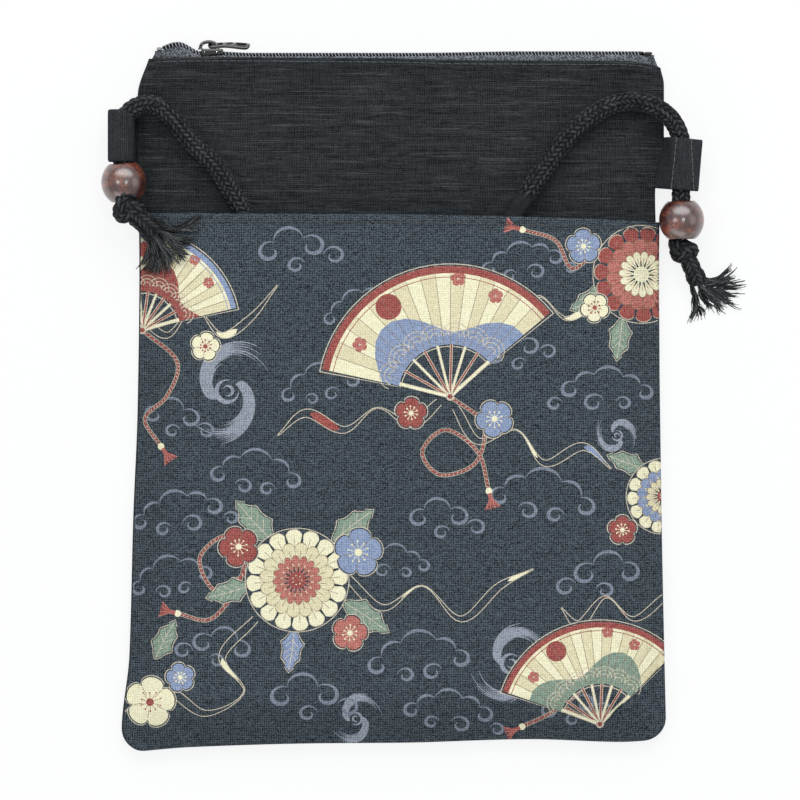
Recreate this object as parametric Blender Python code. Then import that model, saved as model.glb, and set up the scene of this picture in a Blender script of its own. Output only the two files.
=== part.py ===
"""A flat shoulder pochette with a zip top, a printed patch pocket and a braided strap, lying on its back.

Units are metres. +X is the bag's right side as seen from the front, +Y points to the zip, and +Z comes out
of the front. The origin is the middle of the back panel's flat face, which rests on the floor. The middle of
the strap is stowed in the patch pocket, and both of its ends pass through a side tab and a wooden bead to a
knot and a frayed tassel.
"""

import math

import bmesh
import bpy
from mathutils import Matrix, Vector

MM = 0.001
GAP = 0.3 * MM

# Bag
BAG_WIDTH = 190 * MM
BAG_HEIGHT = 246 * MM
CLOTH = 0.9 * MM
COMPARTMENT_DEPTH = 5.6 * MM
SEAM_BAND = 2 * MM
SEAM_LIFT = 2.5 * MM
BODY_MARGIN = 14 * MM
POCKET_MARGIN = 18 * MM
CORNER_RADIUS = 8 * MM
CORNER_ROWS_ABOVE = (5 * MM, 10 * MM)
HEM_DEPTH = 3.2 * MM
HEM_EXTRA = 0.5 * MM
HEM_STEP = 0.5 * MM
POCKET_HEIGHT = 190.5 * MM

# Where the panels' meshes have their rows: near a side in mm, and how many lie between the two sides' rows
PANEL_SIDE_STEPS = (0, 2, 5, 9, 13, 18)
PANEL_MIDDLE_ROWS = 5
PANEL_MIDDLE_COLUMNS = 6

# Each edge's wander, as (share along the edge, distance outwards in mm)
LEFT_EDGE = (
    (0, 5.0), (0.03, 5.5), (0.14, 2.7), (0.34, 1.3), (0.5, -0.3), (0.7, -0.9), (0.95, -0.3), (1, -4.3),
)
RIGHT_EDGE = (
    (0, 1.0), (0.1, 0.4), (0.4, -1.0), (0.7, -1.6), (0.77, -2.7), (0.81, -2.9), (0.89, 0.3), (1, 0.3),
)
BOTTOM_EDGE = ((0, 3.2), (0.1, 1.6), (0.35, 0.2), (0.5, 0), (0.75, -1.3), (0.92, -0.3), (1, -1.3))
TOP_EDGE = ((0, 0.2), (0.35, 0), (0.75, -0.3), (1, -2.4))
MOUTH_EDGE = ((0, 0.6), (0.5, 0), (0.8, -1.2), (1, -2.7))

# Zip
ZIP_TOP_GAP = 7.6 * MM
ZIP_TOP_REACH = 14 * MM
TAPE_THICK = 0.5 * MM
TAPE_FLAP = 10 * MM
TAPE_STAND = 1.6 * MM
ROW_WIDTH = 2.05 * MM
ROW_THICK = 0.9 * MM
TOOTH_PITCH = 1.2 * MM
TOOTH_DEPTH = 0.6 * MM
ZIP_END_LEFT = 5 * MM
ZIP_END_RIGHT = 7.5 * MM
STOP_LENGTH = 1.8 * MM
STOP_PROUD = 0.3 * MM
STOP_SINK = 0.1 * MM
STOP_BEVEL = 0.25 * MM
BOTTOM_STOP_LENGTH = 2.88 * MM
BOTTOM_STOP_BEVEL = 0.3 * MM
SLIDER_FROM_EDGE = 23 * MM
OPEN_RUN = 8 * MM
OPEN_RISE = 3.3 * MM
OPEN_SPREAD = 1.7 * MM
OPEN_END_FALL = 0.55

# Slider and pull
SLIDER_LENGTH = 8 * MM
SLIDER_NARROW = 6.4 * MM
SLIDER_WIDE = 8.6 * MM
SLIDER_PLATE = 0.7 * MM
SLIDER_LIP = 0.7 * MM
KEEL_WIDTH = 4.8 * MM
POST_LENGTH = 2 * MM
POST_WIDTH = 1.4 * MM
CROWN_LENGTH = 7.2 * MM
CROWN_HEIGHT = 3.5 * MM
CROWN_THICK = 1.2 * MM
CROWN_BAR = 0.85 * MM
CROWN_SET_BACK = 1.3 * MM
PULL_LENGTH = 15.3 * MM
PULL_WIDTH = 4 * MM
PULL_THICK = 0.9 * MM
PULL_EYE = 4.9 * MM
PULL_SLOT = 3.6 * MM
PULL_TWIST = math.radians(25)

# Strap, beads, knots and tabs
STRAP_DIAMETER = 7 * MM
BEAD_DIAMETER = 15.8 * MM
BEAD_LENGTH = 13.2 * MM
BEAD_CHAMFER = 1 * MM
BEAD_FROM_END = 0.9 * MM
KNOT_SIZE = (10.4 * MM, 8.6 * MM, 9.4 * MM)
KNOT_WRAP = 0.06
TAB_CLOTH = 0.9 * MM
TAB_SLACK = 0.05 * MM
TAB_SEAM_GAP = 0.6 * MM
TAB_SEAM_END = 0.12 * MM
TAB_EDGE_WINDOW = 3 * MM
TAB_LEFT_LENGTH = 18.9 * MM
TAB_LEFT_FOOT = 36.5 * MM
TAB_LEFT_FOLLOWS = (12 * MM, 15 * MM)
TAB_LEFT_LEAN = 7 * MM
TAB_LEFT_LEAN_FROM = 6.5 * MM
TAB_LEFT_LEAN_RUN = 5.5 * MM
TAB_RIGHT_LENGTH = 18.6 * MM
TAB_RIGHT_FOOT = 46.5 * MM
TAB_RIGHT_FOLD = 3.2 * MM
TAB_RIGHT_FOLD_LOWER = 0.8 * MM
TAB_RIGHT_FOLD_THINNER = 1.4 * MM
TAB_RIGHT_LEAN_FROM = 6 * MM
TAB_RIGHT_LEAN_SHARE = 0.08
LEFT_KNOT_SHIFT = (0.6 * MM, -0.5 * MM)
RIGHT_KNOT_SHIFT = (0.2 * MM, -2.6 * MM)
LEFT_FAN = (math.radians(-88), math.radians(-2))
RIGHT_FAN = (math.radians(-96), math.radians(-12))
TASSEL_LENGTH = 23 * MM
TASSEL_THICK = 3.6 * MM
TASSEL_ROOT = 5 * MM
TASSEL_SPOKES = 15
TASSEL_RINGS = 5

# Heights of the layers on the flat of the bag
FRONT_INNER = CLOTH + COMPARTMENT_DEPTH
FRONT_OUTER = FRONT_INNER + CLOTH
STRAP_LEVEL = FRONT_OUTER + GAP + STRAP_DIAMETER / 2
POCKET_INNER = FRONT_OUTER + STRAP_DIAMETER + 2 * GAP
BACK_SEAM = SEAM_LIFT
FRONT_SEAM = BACK_SEAM + CLOTH + GAP
POCKET_SEAM = FRONT_SEAM + CLOTH + GAP
HALF_WIDTH = BAG_WIDTH / 2
HALF_HEIGHT = BAG_HEIGHT / 2
MOUTH = POCKET_HEIGHT - HALF_HEIGHT
ZIP_LEVEL = CLOTH + ZIP_TOP_GAP / 2

# The strap's route from the left knot to the right knot, in mm. Each point is (from the left or right edge
# line, from the zip edge, height above the strap's level), so that the strap follows the bag.
ROUTE_LEFT = (
    (-3.9, -50.3, -0.8), (-4.4, -44.6, -0.4), (-4.9, -38.9, -0.3), (-5.5, -32.5, -0.8),
    (-5.8, -26.0, -1.2), (-4.8, -21.6, -1.2), (-2.0, -18.0, -1.2), (2.3, -15.9, -0.9),
    (7.1, -16.2, -0.3), (12.2, -19.9, 0), (18.4, -27.5, 0), (24.0, -33.4, 0), (29.0, -38.6, 0),
    (32.4, -43.9, 0), (35.5, -49.1, 0), (38.6, -54.6, 0), (40.8, -62, 0), (39.6, -72, 0),
    (34.5, -82, 0), (27.5, -92, 0), (21.4, -103, 0), (19.2, -117, 0), (19.0, -135, 0),
    (19.0, -155, 0), (19.0, -175, 0), (20.2, -192, 0), (26.5, -205.5, 0), (38.5, -212.3, 0),
)
ROUTE_MIDDLE = (
    (-30, -213.6, 0), (0, -212.4, 0), (30, -213.4, 0), (52, -213.2, 0), (68, -209.5, 0),
    (75, -198, 0), (68, -186.5, 0), (52, -182.8, 0), (20, -183.6, 0), (-12, -182.4, 0),
    (-38, -183, 0), (-54, -179.3, 0), (-60.5, -168, 0), (-54, -156.7, 0), (-38, -153, 0),
    (-10, -153.6, 0), (22, -152.4, 0), (52, -153, 0), (68, -149.5, 0), (75, -138, 0),
    (68, -126.5, 0), (52, -123, 0), (20, -123.6, 0), (-12, -122.4, 0), (-38, -123, 0),
    (-54, -119.3, 0), (-60.5, -108, 0), (-54, -96.7, 0), (-38, -93, 0), (-14, -93.4, 0),
    (6, -91.2, 0), (22, -83, 0),
)
ROUTE_RIGHT = (
    (-60.5, -69, 0), (-52.7, -53.7, 0), (-47.1, -44.5, 0), (-40.3, -34.9, 0), (-33, -25.8, 0),
    (-25, -19.2, 0), (-17.7, -15.6, 0), (-10, -14.6, 0), (-3.2, -16.6, -0.3), (2.3, -20.6, -0.8),
    (5.6, -26.5, -1.5), (6.6, -34.5, -2.3), (6.3, -42, -2.8), (6.3, -50.3, -3.1), (6.5, -57.1, -3.2),
    (6.7, -63.9, -3.3),
)
STRAP_RING_COUNT = 84
STRAP_END_RUN = 100 * MM
STRAP_END_RING_COUNT = 18


def clamp(t):
    return max(0.0, min(1.0, t))


def blend(a, b, t):
    return a + (b - a) * t


def ease(t):
    t = clamp(t)
    return t * t * (3 - 2 * t)


def wander(edge, share):
    """How far an edge lies outside its straight line at a share of its length."""
    share = clamp(share)
    for (s0, v0), (s1, v1) in zip(edge, edge[1:]):
        if share <= s1:
            return blend(v0, v1, (share - s0) / (s1 - s0)) * MM
    return edge[-1][1] * MM


def height_share(y):
    return (y + HALF_HEIGHT) / BAG_HEIGHT


def width_share(x):
    return (x + HALF_WIDTH) / BAG_WIDTH


def left_x(y):
    return -HALF_WIDTH - wander(LEFT_EDGE, height_share(y))


def right_x(y):
    return HALF_WIDTH + wander(RIGHT_EDGE, height_share(y))


def corner_inset(y):
    """How far the side edges pull in near the bottom, for the rounded corners."""
    up = CORNER_RADIUS - (y + HALF_HEIGHT)
    if up <= 0:
        return 0.0
    return CORNER_RADIUS - math.sqrt(max(0.0, CORNER_RADIUS**2 - up**2))


def fullness(side, bottom, margin):
    """0 at the side and bottom seams, and 1 on the flat of the bag."""
    both = 1.0
    for distance in (side, bottom):
        both *= math.sin(math.pi / 2 * clamp((distance - SEAM_BAND) / (margin - SEAM_BAND)))
    return both


def zip_rise(top):
    """How far the front stands up towards the zip, where the bag holds its two tapes apart."""
    return (ZIP_TOP_GAP - COMPARTMENT_DEPTH) * ease(1 - top / ZIP_TOP_REACH)


def back_lower(side, bottom):
    return BACK_SEAM * (1 - fullness(side, bottom, BODY_MARGIN))


def front_lower(side, bottom, top):
    return blend(FRONT_SEAM, FRONT_INNER + zip_rise(top), fullness(side, bottom, BODY_MARGIN))


def pocket_lower(side, bottom):
    return blend(POCKET_SEAM, POCKET_INNER, fullness(side, bottom, POCKET_MARGIN))


def stations(low, high, low_steps, high_steps, between):
    """Places from low to high: given steps from each end, and an even run between them."""
    start = [low + step for step in low_steps]
    end = [high - step for step in reversed(high_steps)]
    middle = [blend(start[-1], end[0], (k + 1) / (between + 1)) for k in range(between)]
    return start + middle + end


def clear_scene():
    for obj in list(bpy.data.objects):
        bpy.data.objects.remove(obj, do_unlink=True)


def material(name, colour, roughness, metallic=0.0):
    mat = bpy.data.materials.new(name)
    mat.use_nodes = True
    shader = mat.node_tree.nodes["Principled BSDF"]
    shader.inputs["Base Color"].default_value = (*colour, 1)
    shader.inputs["Roughness"].default_value = roughness
    shader.inputs["Metallic"].default_value = metallic
    mat.diffuse_color = (*colour, 1)
    return mat


def add_object(name, mesh, mat):
    obj = bpy.data.objects.new(name, mesh)
    bpy.context.scene.collection.objects.link(obj)
    obj.data.materials.append(mat)
    return obj


def finish_mesh(name, bm, mat, crease=40):
    """Turns a bmesh into an object with outward faces, shaded smooth below the crease angle in degrees."""
    bmesh.ops.recalc_face_normals(bm, faces=bm.faces)
    mesh = bpy.data.meshes.new(name)
    bm.to_mesh(mesh)
    bm.free()
    mesh.shade_smooth()
    mesh.set_sharp_from_angle(angle=math.radians(crease))
    return add_object(name, mesh, mat)


def loft(bm, sections):
    """Joins rings of the same number of points, one after another, and caps both ends."""
    rings = [[bm.verts.new(point) for point in section] for section in sections]
    count = len(rings[0])
    for ring, after in zip(rings, rings[1:]):
        for k in range(count):
            n = (k + 1) % count
            bm.faces.new((ring[k], ring[n], after[n], after[k]))
    bm.faces.new(rings[0])
    bm.faces.new(rings[-1])


def panel_grid(top, top_edge, bottom_steps, top_steps, rows_between):
    """Rows of (x, y, distance to side, to bottom and to top) over a panel, from the bottom seam up."""
    side_steps = [step * MM for step in PANEL_SIDE_STEPS]
    grid = []
    for flat_y in stations(-HALF_HEIGHT, top, bottom_steps, top_steps, rows_between):
        low = left_x(flat_y) + corner_inset(flat_y)
        high = right_x(flat_y) - corner_inset(flat_y)
        share = (flat_y + HALF_HEIGHT) / (top + HALF_HEIGHT)
        row = []
        for x in stations(low, high, side_steps, side_steps, PANEL_MIDDLE_COLUMNS):
            down = -wander(BOTTOM_EDGE, width_share(x))
            y = flat_y + blend(down, wander(top_edge, width_share(x)), share)
            row.append((x, y, min(x - low, high - x), flat_y + HALF_HEIGHT, top - flat_y))
        grid.append(row)
    return grid


def close_sheet(bm, under, over):
    """Faces of a closed sheet between two grids of points of the same size."""
    rows, columns = len(under), len(under[0])
    for j in range(rows - 1):
        for i in range(columns - 1):
            for sheet in (under, over):
                bm.faces.new((sheet[j][i], sheet[j][i + 1], sheet[j + 1][i + 1], sheet[j + 1][i]))
    rim = [(0, i) for i in range(columns)] + [(j, columns - 1) for j in range(1, rows)]
    rim += [(rows - 1, i) for i in range(columns - 2, -1, -1)] + [(j, 0) for j in range(rows - 2, 0, -1)]
    for (j, i), (m, n) in zip(rim, rim[1:] + rim[:1]):
        bm.faces.new((under[j][i], under[m][n], over[m][n], over[j][i]))


def panel(name, grid, lower, upper, mat):
    """A closed sheet of cloth over a grid, between two height functions."""
    bm = bmesh.new()
    under = [[bm.verts.new((x, y, lower(*d))) for x, y, *d in row] for row in grid]
    over = [[bm.verts.new((x, y, upper(*d))) for x, y, *d in row] for row in grid]
    close_sheet(bm, under, over)
    return finish_mesh(name, bm, mat)


def hem(top):
    """The extra thickness of a turned and stitched edge."""
    return HEM_EXTRA if top <= HEM_DEPTH + GAP / 10 else 0.0


def bottom_steps():
    """Where a panel has rows near its bottom seam: round the corner's arc, and above it."""
    arc = [CORNER_RADIUS * (1 - math.cos(math.radians(a))) for a in (0, 30, 60, 90)]
    return arc + [CORNER_RADIUS + above for above in CORNER_ROWS_ABOVE]


def make_panels():
    black = material("black_slub_cotton", (0.018, 0.019, 0.021), 0.9)
    printed = material("printed_cotton", (0.032, 0.042, 0.055), 0.85)
    hem_steps = [0, HEM_DEPTH, HEM_DEPTH + HEM_STEP]
    zip_steps = hem_steps + [9 * MM, ZIP_TOP_REACH]
    mouth_steps = hem_steps + [10 * MM]
    body = panel_grid(HALF_HEIGHT, TOP_EDGE, bottom_steps(), zip_steps, PANEL_MIDDLE_ROWS)
    pocket = panel_grid(MOUTH, MOUTH_EDGE, bottom_steps(), mouth_steps, PANEL_MIDDLE_ROWS)
    panel(
        "back_panel", body,
        lambda side, bottom, top: back_lower(side, bottom),
        lambda side, bottom, top: back_lower(side, bottom) + CLOTH,
        black,
    )
    panel(
        "front_panel", body,
        front_lower,
        lambda side, bottom, top: front_lower(side, bottom, top) + CLOTH + hem(top),
        black,
    )
    panel(
        "pocket_panel", pocket,
        lambda side, bottom, top: pocket_lower(side, bottom),
        lambda side, bottom, top: pocket_lower(side, bottom) + CLOTH + hem(top),
        printed,
    )


def zip_span():
    """The chain's left and right end, and the slider's middle."""
    low = left_x(HALF_HEIGHT) + ZIP_END_LEFT
    high = right_x(HALF_HEIGHT) - ZIP_END_RIGHT
    return low, high, left_x(HALF_HEIGHT) + SLIDER_FROM_EDGE


def tape_level():
    """The underside of the flat part of the tapes, which stands above the folds of the two panels."""
    return HALF_HEIGHT + wander(TOP_EDGE, 0) + TAPE_STAND - TAPE_THICK


def open_share(x):
    """0 along the closed chain, growing to 1 left of the slider's post."""
    _, _, slider = zip_span()
    return clamp((slider - SLIDER_LENGTH / 2 - x) / OPEN_RUN)


def row_spread(x):
    """Half of the extra distance between the two rows: the post's room, and then the open chain."""
    _, _, slider = zip_span()
    post = POST_WIDTH / 2 + GAP
    spread = post * ease((slider - x) / (SLIDER_LENGTH / 4)) + (OPEN_SPREAD - post) * ease(open_share(x))
    return spread * fullness(zip_sides(x), BAG_HEIGHT, BODY_MARGIN)


def row_rise(x):
    """How far the open chain arches up left of the slider, falling again towards its end."""
    low, _, _ = zip_span()
    fall = ease((low + 5 * MM - x) / (7 * MM))
    return OPEN_RISE * ease(open_share(x)) * (1 - OPEN_END_FALL * fall)


def zip_sides(x):
    """The distance from the nearest side seam at the zip's height."""
    return min(x - left_x(HALF_HEIGHT), right_x(HALF_HEIGHT) - x)


def tape_section(x, side):
    """One tape's outline at x: a flap behind the panel, a turn past its fold and the part under the teeth."""
    seam = zip_sides(x)
    line = []
    for top in (TAPE_FLAP, TAPE_FLAP / 2, 0.6 * MM):
        if side > 0:
            z = front_lower(seam, BAG_HEIGHT, top) - GAP - TAPE_THICK / 2
        else:
            z = back_lower(seam, BAG_HEIGHT) + CLOTH + GAP + TAPE_THICK / 2
        line.append((HALF_HEIGHT - top, z))
    level = tape_level() + TAPE_THICK / 2 + row_rise(x)
    inner = zip_middle(x) + side * (row_spread(x) + TOOTH_DEPTH)
    outer = line[-1][1]
    reach = abs(outer - inner)
    line.append((level - 0.35 * MM, inner + side * reach * 0.9))
    line.append((level, inner + side * reach * 0.62))
    line.append((level, inner))
    return thick_line(line, TAPE_THICK)


def zip_middle(x):
    """The height of the zip's middle line: half way between the panels."""
    full = fullness(zip_sides(x), BAG_HEIGHT, BODY_MARGIN)
    return blend((BACK_SEAM + CLOTH + FRONT_SEAM) / 2, ZIP_LEVEL, full)


def thick_line(line, thickness):
    """The closed outline of a line of (y, z) points with a thickness."""
    sides = ([], [])
    for k, (y, z) in enumerate(line):
        before = line[max(0, k - 1)]
        after = line[min(len(line) - 1, k + 1)]
        along = Vector((after[0] - before[0], after[1] - before[1])).normalized()
        across = Vector((-along.y, along.x)) * thickness / 2
        sides[0].append((y + across.x, z + across.y))
        sides[1].append((y - across.x, z - across.y))
    return sides[0] + sides[1][::-1]


def make_tapes():
    grey = material("zip_tape", (0.05, 0.05, 0.055), 0.9)
    low, high, slider = zip_span()
    start = slider - SLIDER_LENGTH / 2
    places = [blend(low - 1 * MM, start, k / 8) for k in range(9)]
    places += [slider - SLIDER_LENGTH / 4, slider, slider + SLIDER_LENGTH / 2]
    places += [blend(places[-1], high - 6 * MM, k / 4) for k in range(1, 5)]
    places += [high - 3 * MM, high, high + 1.6 * MM]
    for name, side in (("zip_tape_front", 1), ("zip_tape_back", -1)):
        bm = bmesh.new()
        loft(bm, [[(x, y, z) for y, z in tape_section(x, side)] for x in places])
        finish_mesh(name, bm, grey)


def make_teeth():
    """Two rows whose inner edges mesh as one zigzag along the closed chain and part left of the slider."""
    black = material("zip_teeth", (0.012, 0.012, 0.014), 0.35)
    low, high, _ = zip_span()
    count = round((high - low) / (TOOTH_PITCH / 2))
    base = tape_level() + TAPE_THICK + GAP
    for name, side in (("zip_teeth_front", 1), ("zip_teeth_back", -1)):
        bm = bmesh.new()
        sections = []
        for k in range(count + 1):
            x = blend(low, high, k / count)
            middle = zip_middle(x)
            zigzag = TOOTH_DEPTH / 2 * (1 if k % 2 else -1)
            inner = middle + zigzag + side * (GAP / 2 + row_spread(x))
            outer = middle + side * (GAP / 2 + row_spread(x) + ROW_WIDTH)
            bottom = base + row_rise(x)
            sections.append((
                (x, bottom, inner), (x, bottom, outer),
                (x, bottom + ROW_THICK, outer), (x, bottom + ROW_THICK, inner),
            ))
        loft(bm, sections)
        finish_mesh(name, bm, black)


def box(bm, low, high):
    """Adds a closed box between two corners."""
    size = Vector(high) - Vector(low)
    middle = (Vector(high) + Vector(low)) / 2
    bmesh.ops.create_cube(bm, size=1.0, matrix=Matrix.Translation(middle) @ Matrix.Diagonal((*size, 1)))


def make_stops():
    """A top stop at the end of each open row, and the bottom stop across both rows."""
    metal = material("zip_stop", (0.03, 0.03, 0.035), 0.35, 0.9)
    low, high, _ = zip_span()
    base = tape_level() + TAPE_THICK + GAP
    tall = ROW_THICK + STOP_PROUD
    for name, side in (("zip_top_stop_front", 1), ("zip_top_stop_back", -1)):
        x = low - GAP - STOP_LENGTH
        inner = zip_middle(x) + side * (GAP / 2 + row_spread(low))
        z0, z1 = sorted((inner, inner + side * ROW_WIDTH))
        y = base + row_rise(low) - STOP_SINK
        bm = bmesh.new()
        box(bm, (x, y, z0), (x + STOP_LENGTH, y + tall, z1))
        bmesh.ops.bevel(bm, geom=list(bm.edges), offset=STOP_BEVEL, segments=1, affect="EDGES")
        finish_mesh(name, bm, metal, crease=30)
    bm = bmesh.new()
    x = high + GAP
    middle = zip_middle(x)
    half = ROW_WIDTH + GAP / 2
    box(bm, (x, base, middle - half), (x + BOTTOM_STOP_LENGTH, base + tall, middle + half))
    bmesh.ops.bevel(bm, geom=list(bm.edges), offset=BOTTOM_STOP_BEVEL, segments=1, affect="EDGES")
    finish_mesh("zip_bottom_stop", bm, metal, crease=30)


def set_origin(obj, place):
    """Moves an object's origin to a place without moving its shape."""
    obj.data.transform(Matrix.Translation(-place))
    obj.location = place


def join_by_boolean(obj, others, operation="UNION"):
    """Keeps the other objects as hidden operands of Boolean modifiers on the first."""
    for other in others:
        other.hide_render = True
        other.display_type = "WIRE"
        modifier = obj.modifiers.new(other.name, "BOOLEAN")
        modifier.operation = operation
        modifier.solver = "EXACT"
        modifier.object = other


def slider_place():
    """The slider's middle on the chain: x, the underside of its top plate, and z."""
    _, _, x = zip_span()
    return x, tape_level() + TAPE_THICK + ROW_THICK + 2 * GAP, zip_middle(x)


def crown_place():
    """The middle of the crown's foot on the top plate."""
    x, roof, z = slider_place()
    return x - CROWN_SET_BACK, roof + SLIDER_PLATE, z


def make_slider():
    """A top plate with lips round the teeth, a keel under the tapes, the post between them and the crown."""
    black = material("slider_enamel", (0.015, 0.015, 0.017), 0.18, 0.6)
    x, roof, z = slider_place()
    top = roof + SLIDER_PLATE
    lip_foot = tape_level() + TAPE_THICK + GAP
    sections = []
    for share in (0, 0.12, 0.45, 0.9, 1):
        half = blend(SLIDER_WIDE, SLIDER_NARROW, ease(share * 1.2)) / 2
        if share in (0, 1):
            half -= 0.25 * MM
        inner = half - SLIDER_LIP
        place = x + blend(-SLIDER_LENGTH / 2, SLIDER_LENGTH / 2, share)
        ring = (
            (half, lip_foot), (half, top - 0.2 * MM), (half - 0.3 * MM, top), (-half + 0.3 * MM, top),
            (-half, top - 0.2 * MM), (-half, lip_foot), (-inner, lip_foot), (-inner, roof), (inner, roof),
            (inner, lip_foot),
        )
        sections.append([(place, y, z + across) for across, y in ring])
    bm = bmesh.new()
    loft(bm, sections)
    slider = finish_mesh("zip_slider", bm, black, crease=30)

    keel_top = tape_level() - GAP
    keel = bmesh.new()
    box(
        keel, (x - SLIDER_LENGTH / 2, keel_top - SLIDER_PLATE, z - KEEL_WIDTH / 2),
        (x + SLIDER_LENGTH / 2, keel_top, z + KEEL_WIDTH / 2),
    )
    bmesh.ops.bevel(keel, geom=list(keel.edges), offset=0.2 * MM, segments=1, affect="EDGES")
    keel = finish_mesh("cut_slider_keel", keel, black, crease=30)

    post = bmesh.new()
    front = x - SLIDER_LENGTH / 2 + 0.3 * MM
    box(
        post, (front, keel_top - SLIDER_PLATE / 2, z - POST_WIDTH / 2),
        (front + POST_LENGTH, roof + SLIDER_PLATE / 2, z + POST_WIDTH / 2),
    )
    post = finish_mesh("cut_slider_post", post, black, crease=30)
    join_by_boolean(slider, [keel, post, make_crown(black)])
    set_origin(slider, Vector(slider_place()))


def make_crown(mat):
    """An arch over the top plate that holds the pull, as a closed outline drawn along X and Y."""
    x, foot, z = crown_place()
    sink = SLIDER_PLATE / 2
    bm = bmesh.new()
    sections = []
    steps = 10
    for k in range(steps + 1):
        angle = math.pi * k / steps
        outer = Vector((-math.cos(angle) * CROWN_LENGTH / 2, math.sin(angle) ** 0.7 * CROWN_HEIGHT))
        half = CROWN_LENGTH / 2 - CROWN_BAR
        inner = Vector((-math.cos(angle) * half, math.sin(angle) ** 0.7 * (CROWN_HEIGHT - CROWN_BAR)))
        if k in (0, steps):
            outer.y = inner.y = -sink
        sections.append([
            (x + place.x, foot + place.y, z + across)
            for place, across in (
                (outer, -CROWN_THICK / 2), (outer, CROWN_THICK / 2),
                (inner, CROWN_THICK / 2), (inner, -CROWN_THICK / 2),
            )
        ])
    loft(bm, sections)
    return finish_mesh("cut_slider_crown", bm, mat, crease=50)


def pull_pivot():
    x, foot, z = crown_place()
    return Vector((x, foot + CROWN_HEIGHT - CROWN_BAR - GAP - PULL_THICK / 2 - 0.2 * MM, z))


def pull_outline(low, high, half_low, half_high, steps=6):
    """A tongue from low to high along X with rounded ends, as (x, z) points."""
    points = []
    for k in range(steps + 1):
        angle = math.pi / 2 - math.pi * k / steps
        points.append((high - half_high + math.cos(angle) * half_high, math.sin(angle) * half_high))
    points.append((low, -half_low))
    points.append((low, half_low))
    return points


def make_pull():
    """A flat tongue that turns on the crown, with an eye round the crown's bar and a slot near its tip."""
    black = material("pull_enamel", (0.015, 0.015, 0.017), 0.18, 0.6)
    bar = PULL_THICK
    half = PULL_WIDTH / 2

    def tongue(name, outline, thick):
        bm = bmesh.new()
        loft(bm, [[(px, side * thick / 2, pz) for px, pz in outline] for side in (-1, 1)])
        return finish_mesh(name, bm, black, crease=30)

    pull = tongue("zip_pull", pull_outline(-bar / 2, PULL_LENGTH, half - 0.2 * MM, half), PULL_THICK)
    eye_half = half - bar * 0.75
    eye = tongue("cut_pull_eye", pull_outline(bar / 2, PULL_EYE, eye_half, eye_half * 0.9, 4), PULL_THICK * 3)
    slot_end = PULL_LENGTH - bar * 1.3
    slot_outline = pull_outline(slot_end - PULL_SLOT, slot_end, eye_half * 0.5, eye_half * 0.8, 4)
    slot = tongue("cut_pull_slot", slot_outline, PULL_THICK * 3)
    for piece in (pull, eye, slot):
        piece.matrix_world = Matrix.Translation(pull_pivot()) @ Matrix.Rotation(PULL_TWIST, 4, "X")
    join_by_boolean(pull, [eye, slot], "DIFFERENCE")


def route_points():
    """The strap's hand-chosen route in metres, from the left knot to the right knot."""
    points = []
    for route, edge in ((ROUTE_LEFT, -HALF_WIDTH), (ROUTE_MIDDLE, 0.0), (ROUTE_RIGHT, HALF_WIDTH)):
        for across, down, up in route:
            points.append(Vector((edge + across * MM, HALF_HEIGHT + down * MM, STRAP_LEVEL + up * MM)))
    return points


def smooth_through(points, steps=12):
    """A centripetal Catmull-Rom curve through the points, finely sampled."""
    padded = [2 * points[0] - points[1]] + list(points) + [2 * points[-1] - points[-2]]
    fine = []
    for p0, p1, p2, p3 in zip(padded, padded[1:], padded[2:], padded[3:]):
        t1 = (p1 - p0).length ** 0.5
        t2 = t1 + (p2 - p1).length ** 0.5
        t3 = t2 + (p3 - p2).length ** 0.5
        for k in range(steps):
            t = blend(t1, t2, k / steps)
            a1 = p0.lerp(p1, t / t1)
            a2 = p1.lerp(p2, (t - t1) / (t2 - t1))
            a3 = p2.lerp(p3, (t - t2) / (t3 - t2))
            b1 = a1.lerp(a2, t / t2)
            b2 = a2.lerp(a3, (t - t1) / (t3 - t1))
            fine.append(b1.lerp(b2, (t - t1) / (t2 - t1)))
    fine.append(points[-1])
    return fine


def lengths_along(line):
    far = [0.0]
    for a, b in zip(line, line[1:]):
        far.append(far[-1] + (b - a).length)
    return far


def point_at(line, far, distance):
    """The point and direction at a distance along a finely sampled line."""
    for k in range(len(line) - 1):
        if far[k + 1] >= distance:
            share = (distance - far[k]) / (far[k + 1] - far[k])
            return line[k].lerp(line[k + 1], share), (line[k + 1] - line[k]).normalized()
    return line[-1], (line[-1] - line[-2]).normalized()


def strap_samples(line):
    """Distances along the strap: closer together on the short bends by the tabs, wider in the pocket."""
    far = lengths_along(line)
    total = far[-1]
    run, close = STRAP_END_RUN, STRAP_END_RING_COUNT
    middle = STRAP_RING_COUNT - 2 * close
    places = [blend(0, run, k / close) for k in range(close)]
    places += [blend(run, total - run, k / (middle - 1)) for k in range(middle)]
    places += [blend(total - run, total, (k + 1) / close) for k in range(close)]
    return [point_at(line, far, place)[0] for place in places]


def make_strap(line):
    cotton = material("braided_strap", (0.014, 0.014, 0.015), 0.95)
    curve = bpy.data.curves.new("strap", "CURVE")
    curve.dimensions = "3D"
    curve.bevel_depth = STRAP_DIAMETER / 2
    curve.bevel_resolution = 2
    curve.use_fill_caps = True
    points = strap_samples(line)
    spline = curve.splines.new("POLY")
    spline.points.add(len(points) - 1)
    for place, point in zip(spline.points, points):
        place.co = (*point, 1)
    add_object("strap", curve, cotton)


def frame_at(origin, along):
    """A matrix at origin whose +Z points along the given direction."""
    turn = Vector(along).to_track_quat("Z", "Y").to_matrix().to_4x4()
    return Matrix.Translation(origin) @ turn


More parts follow.
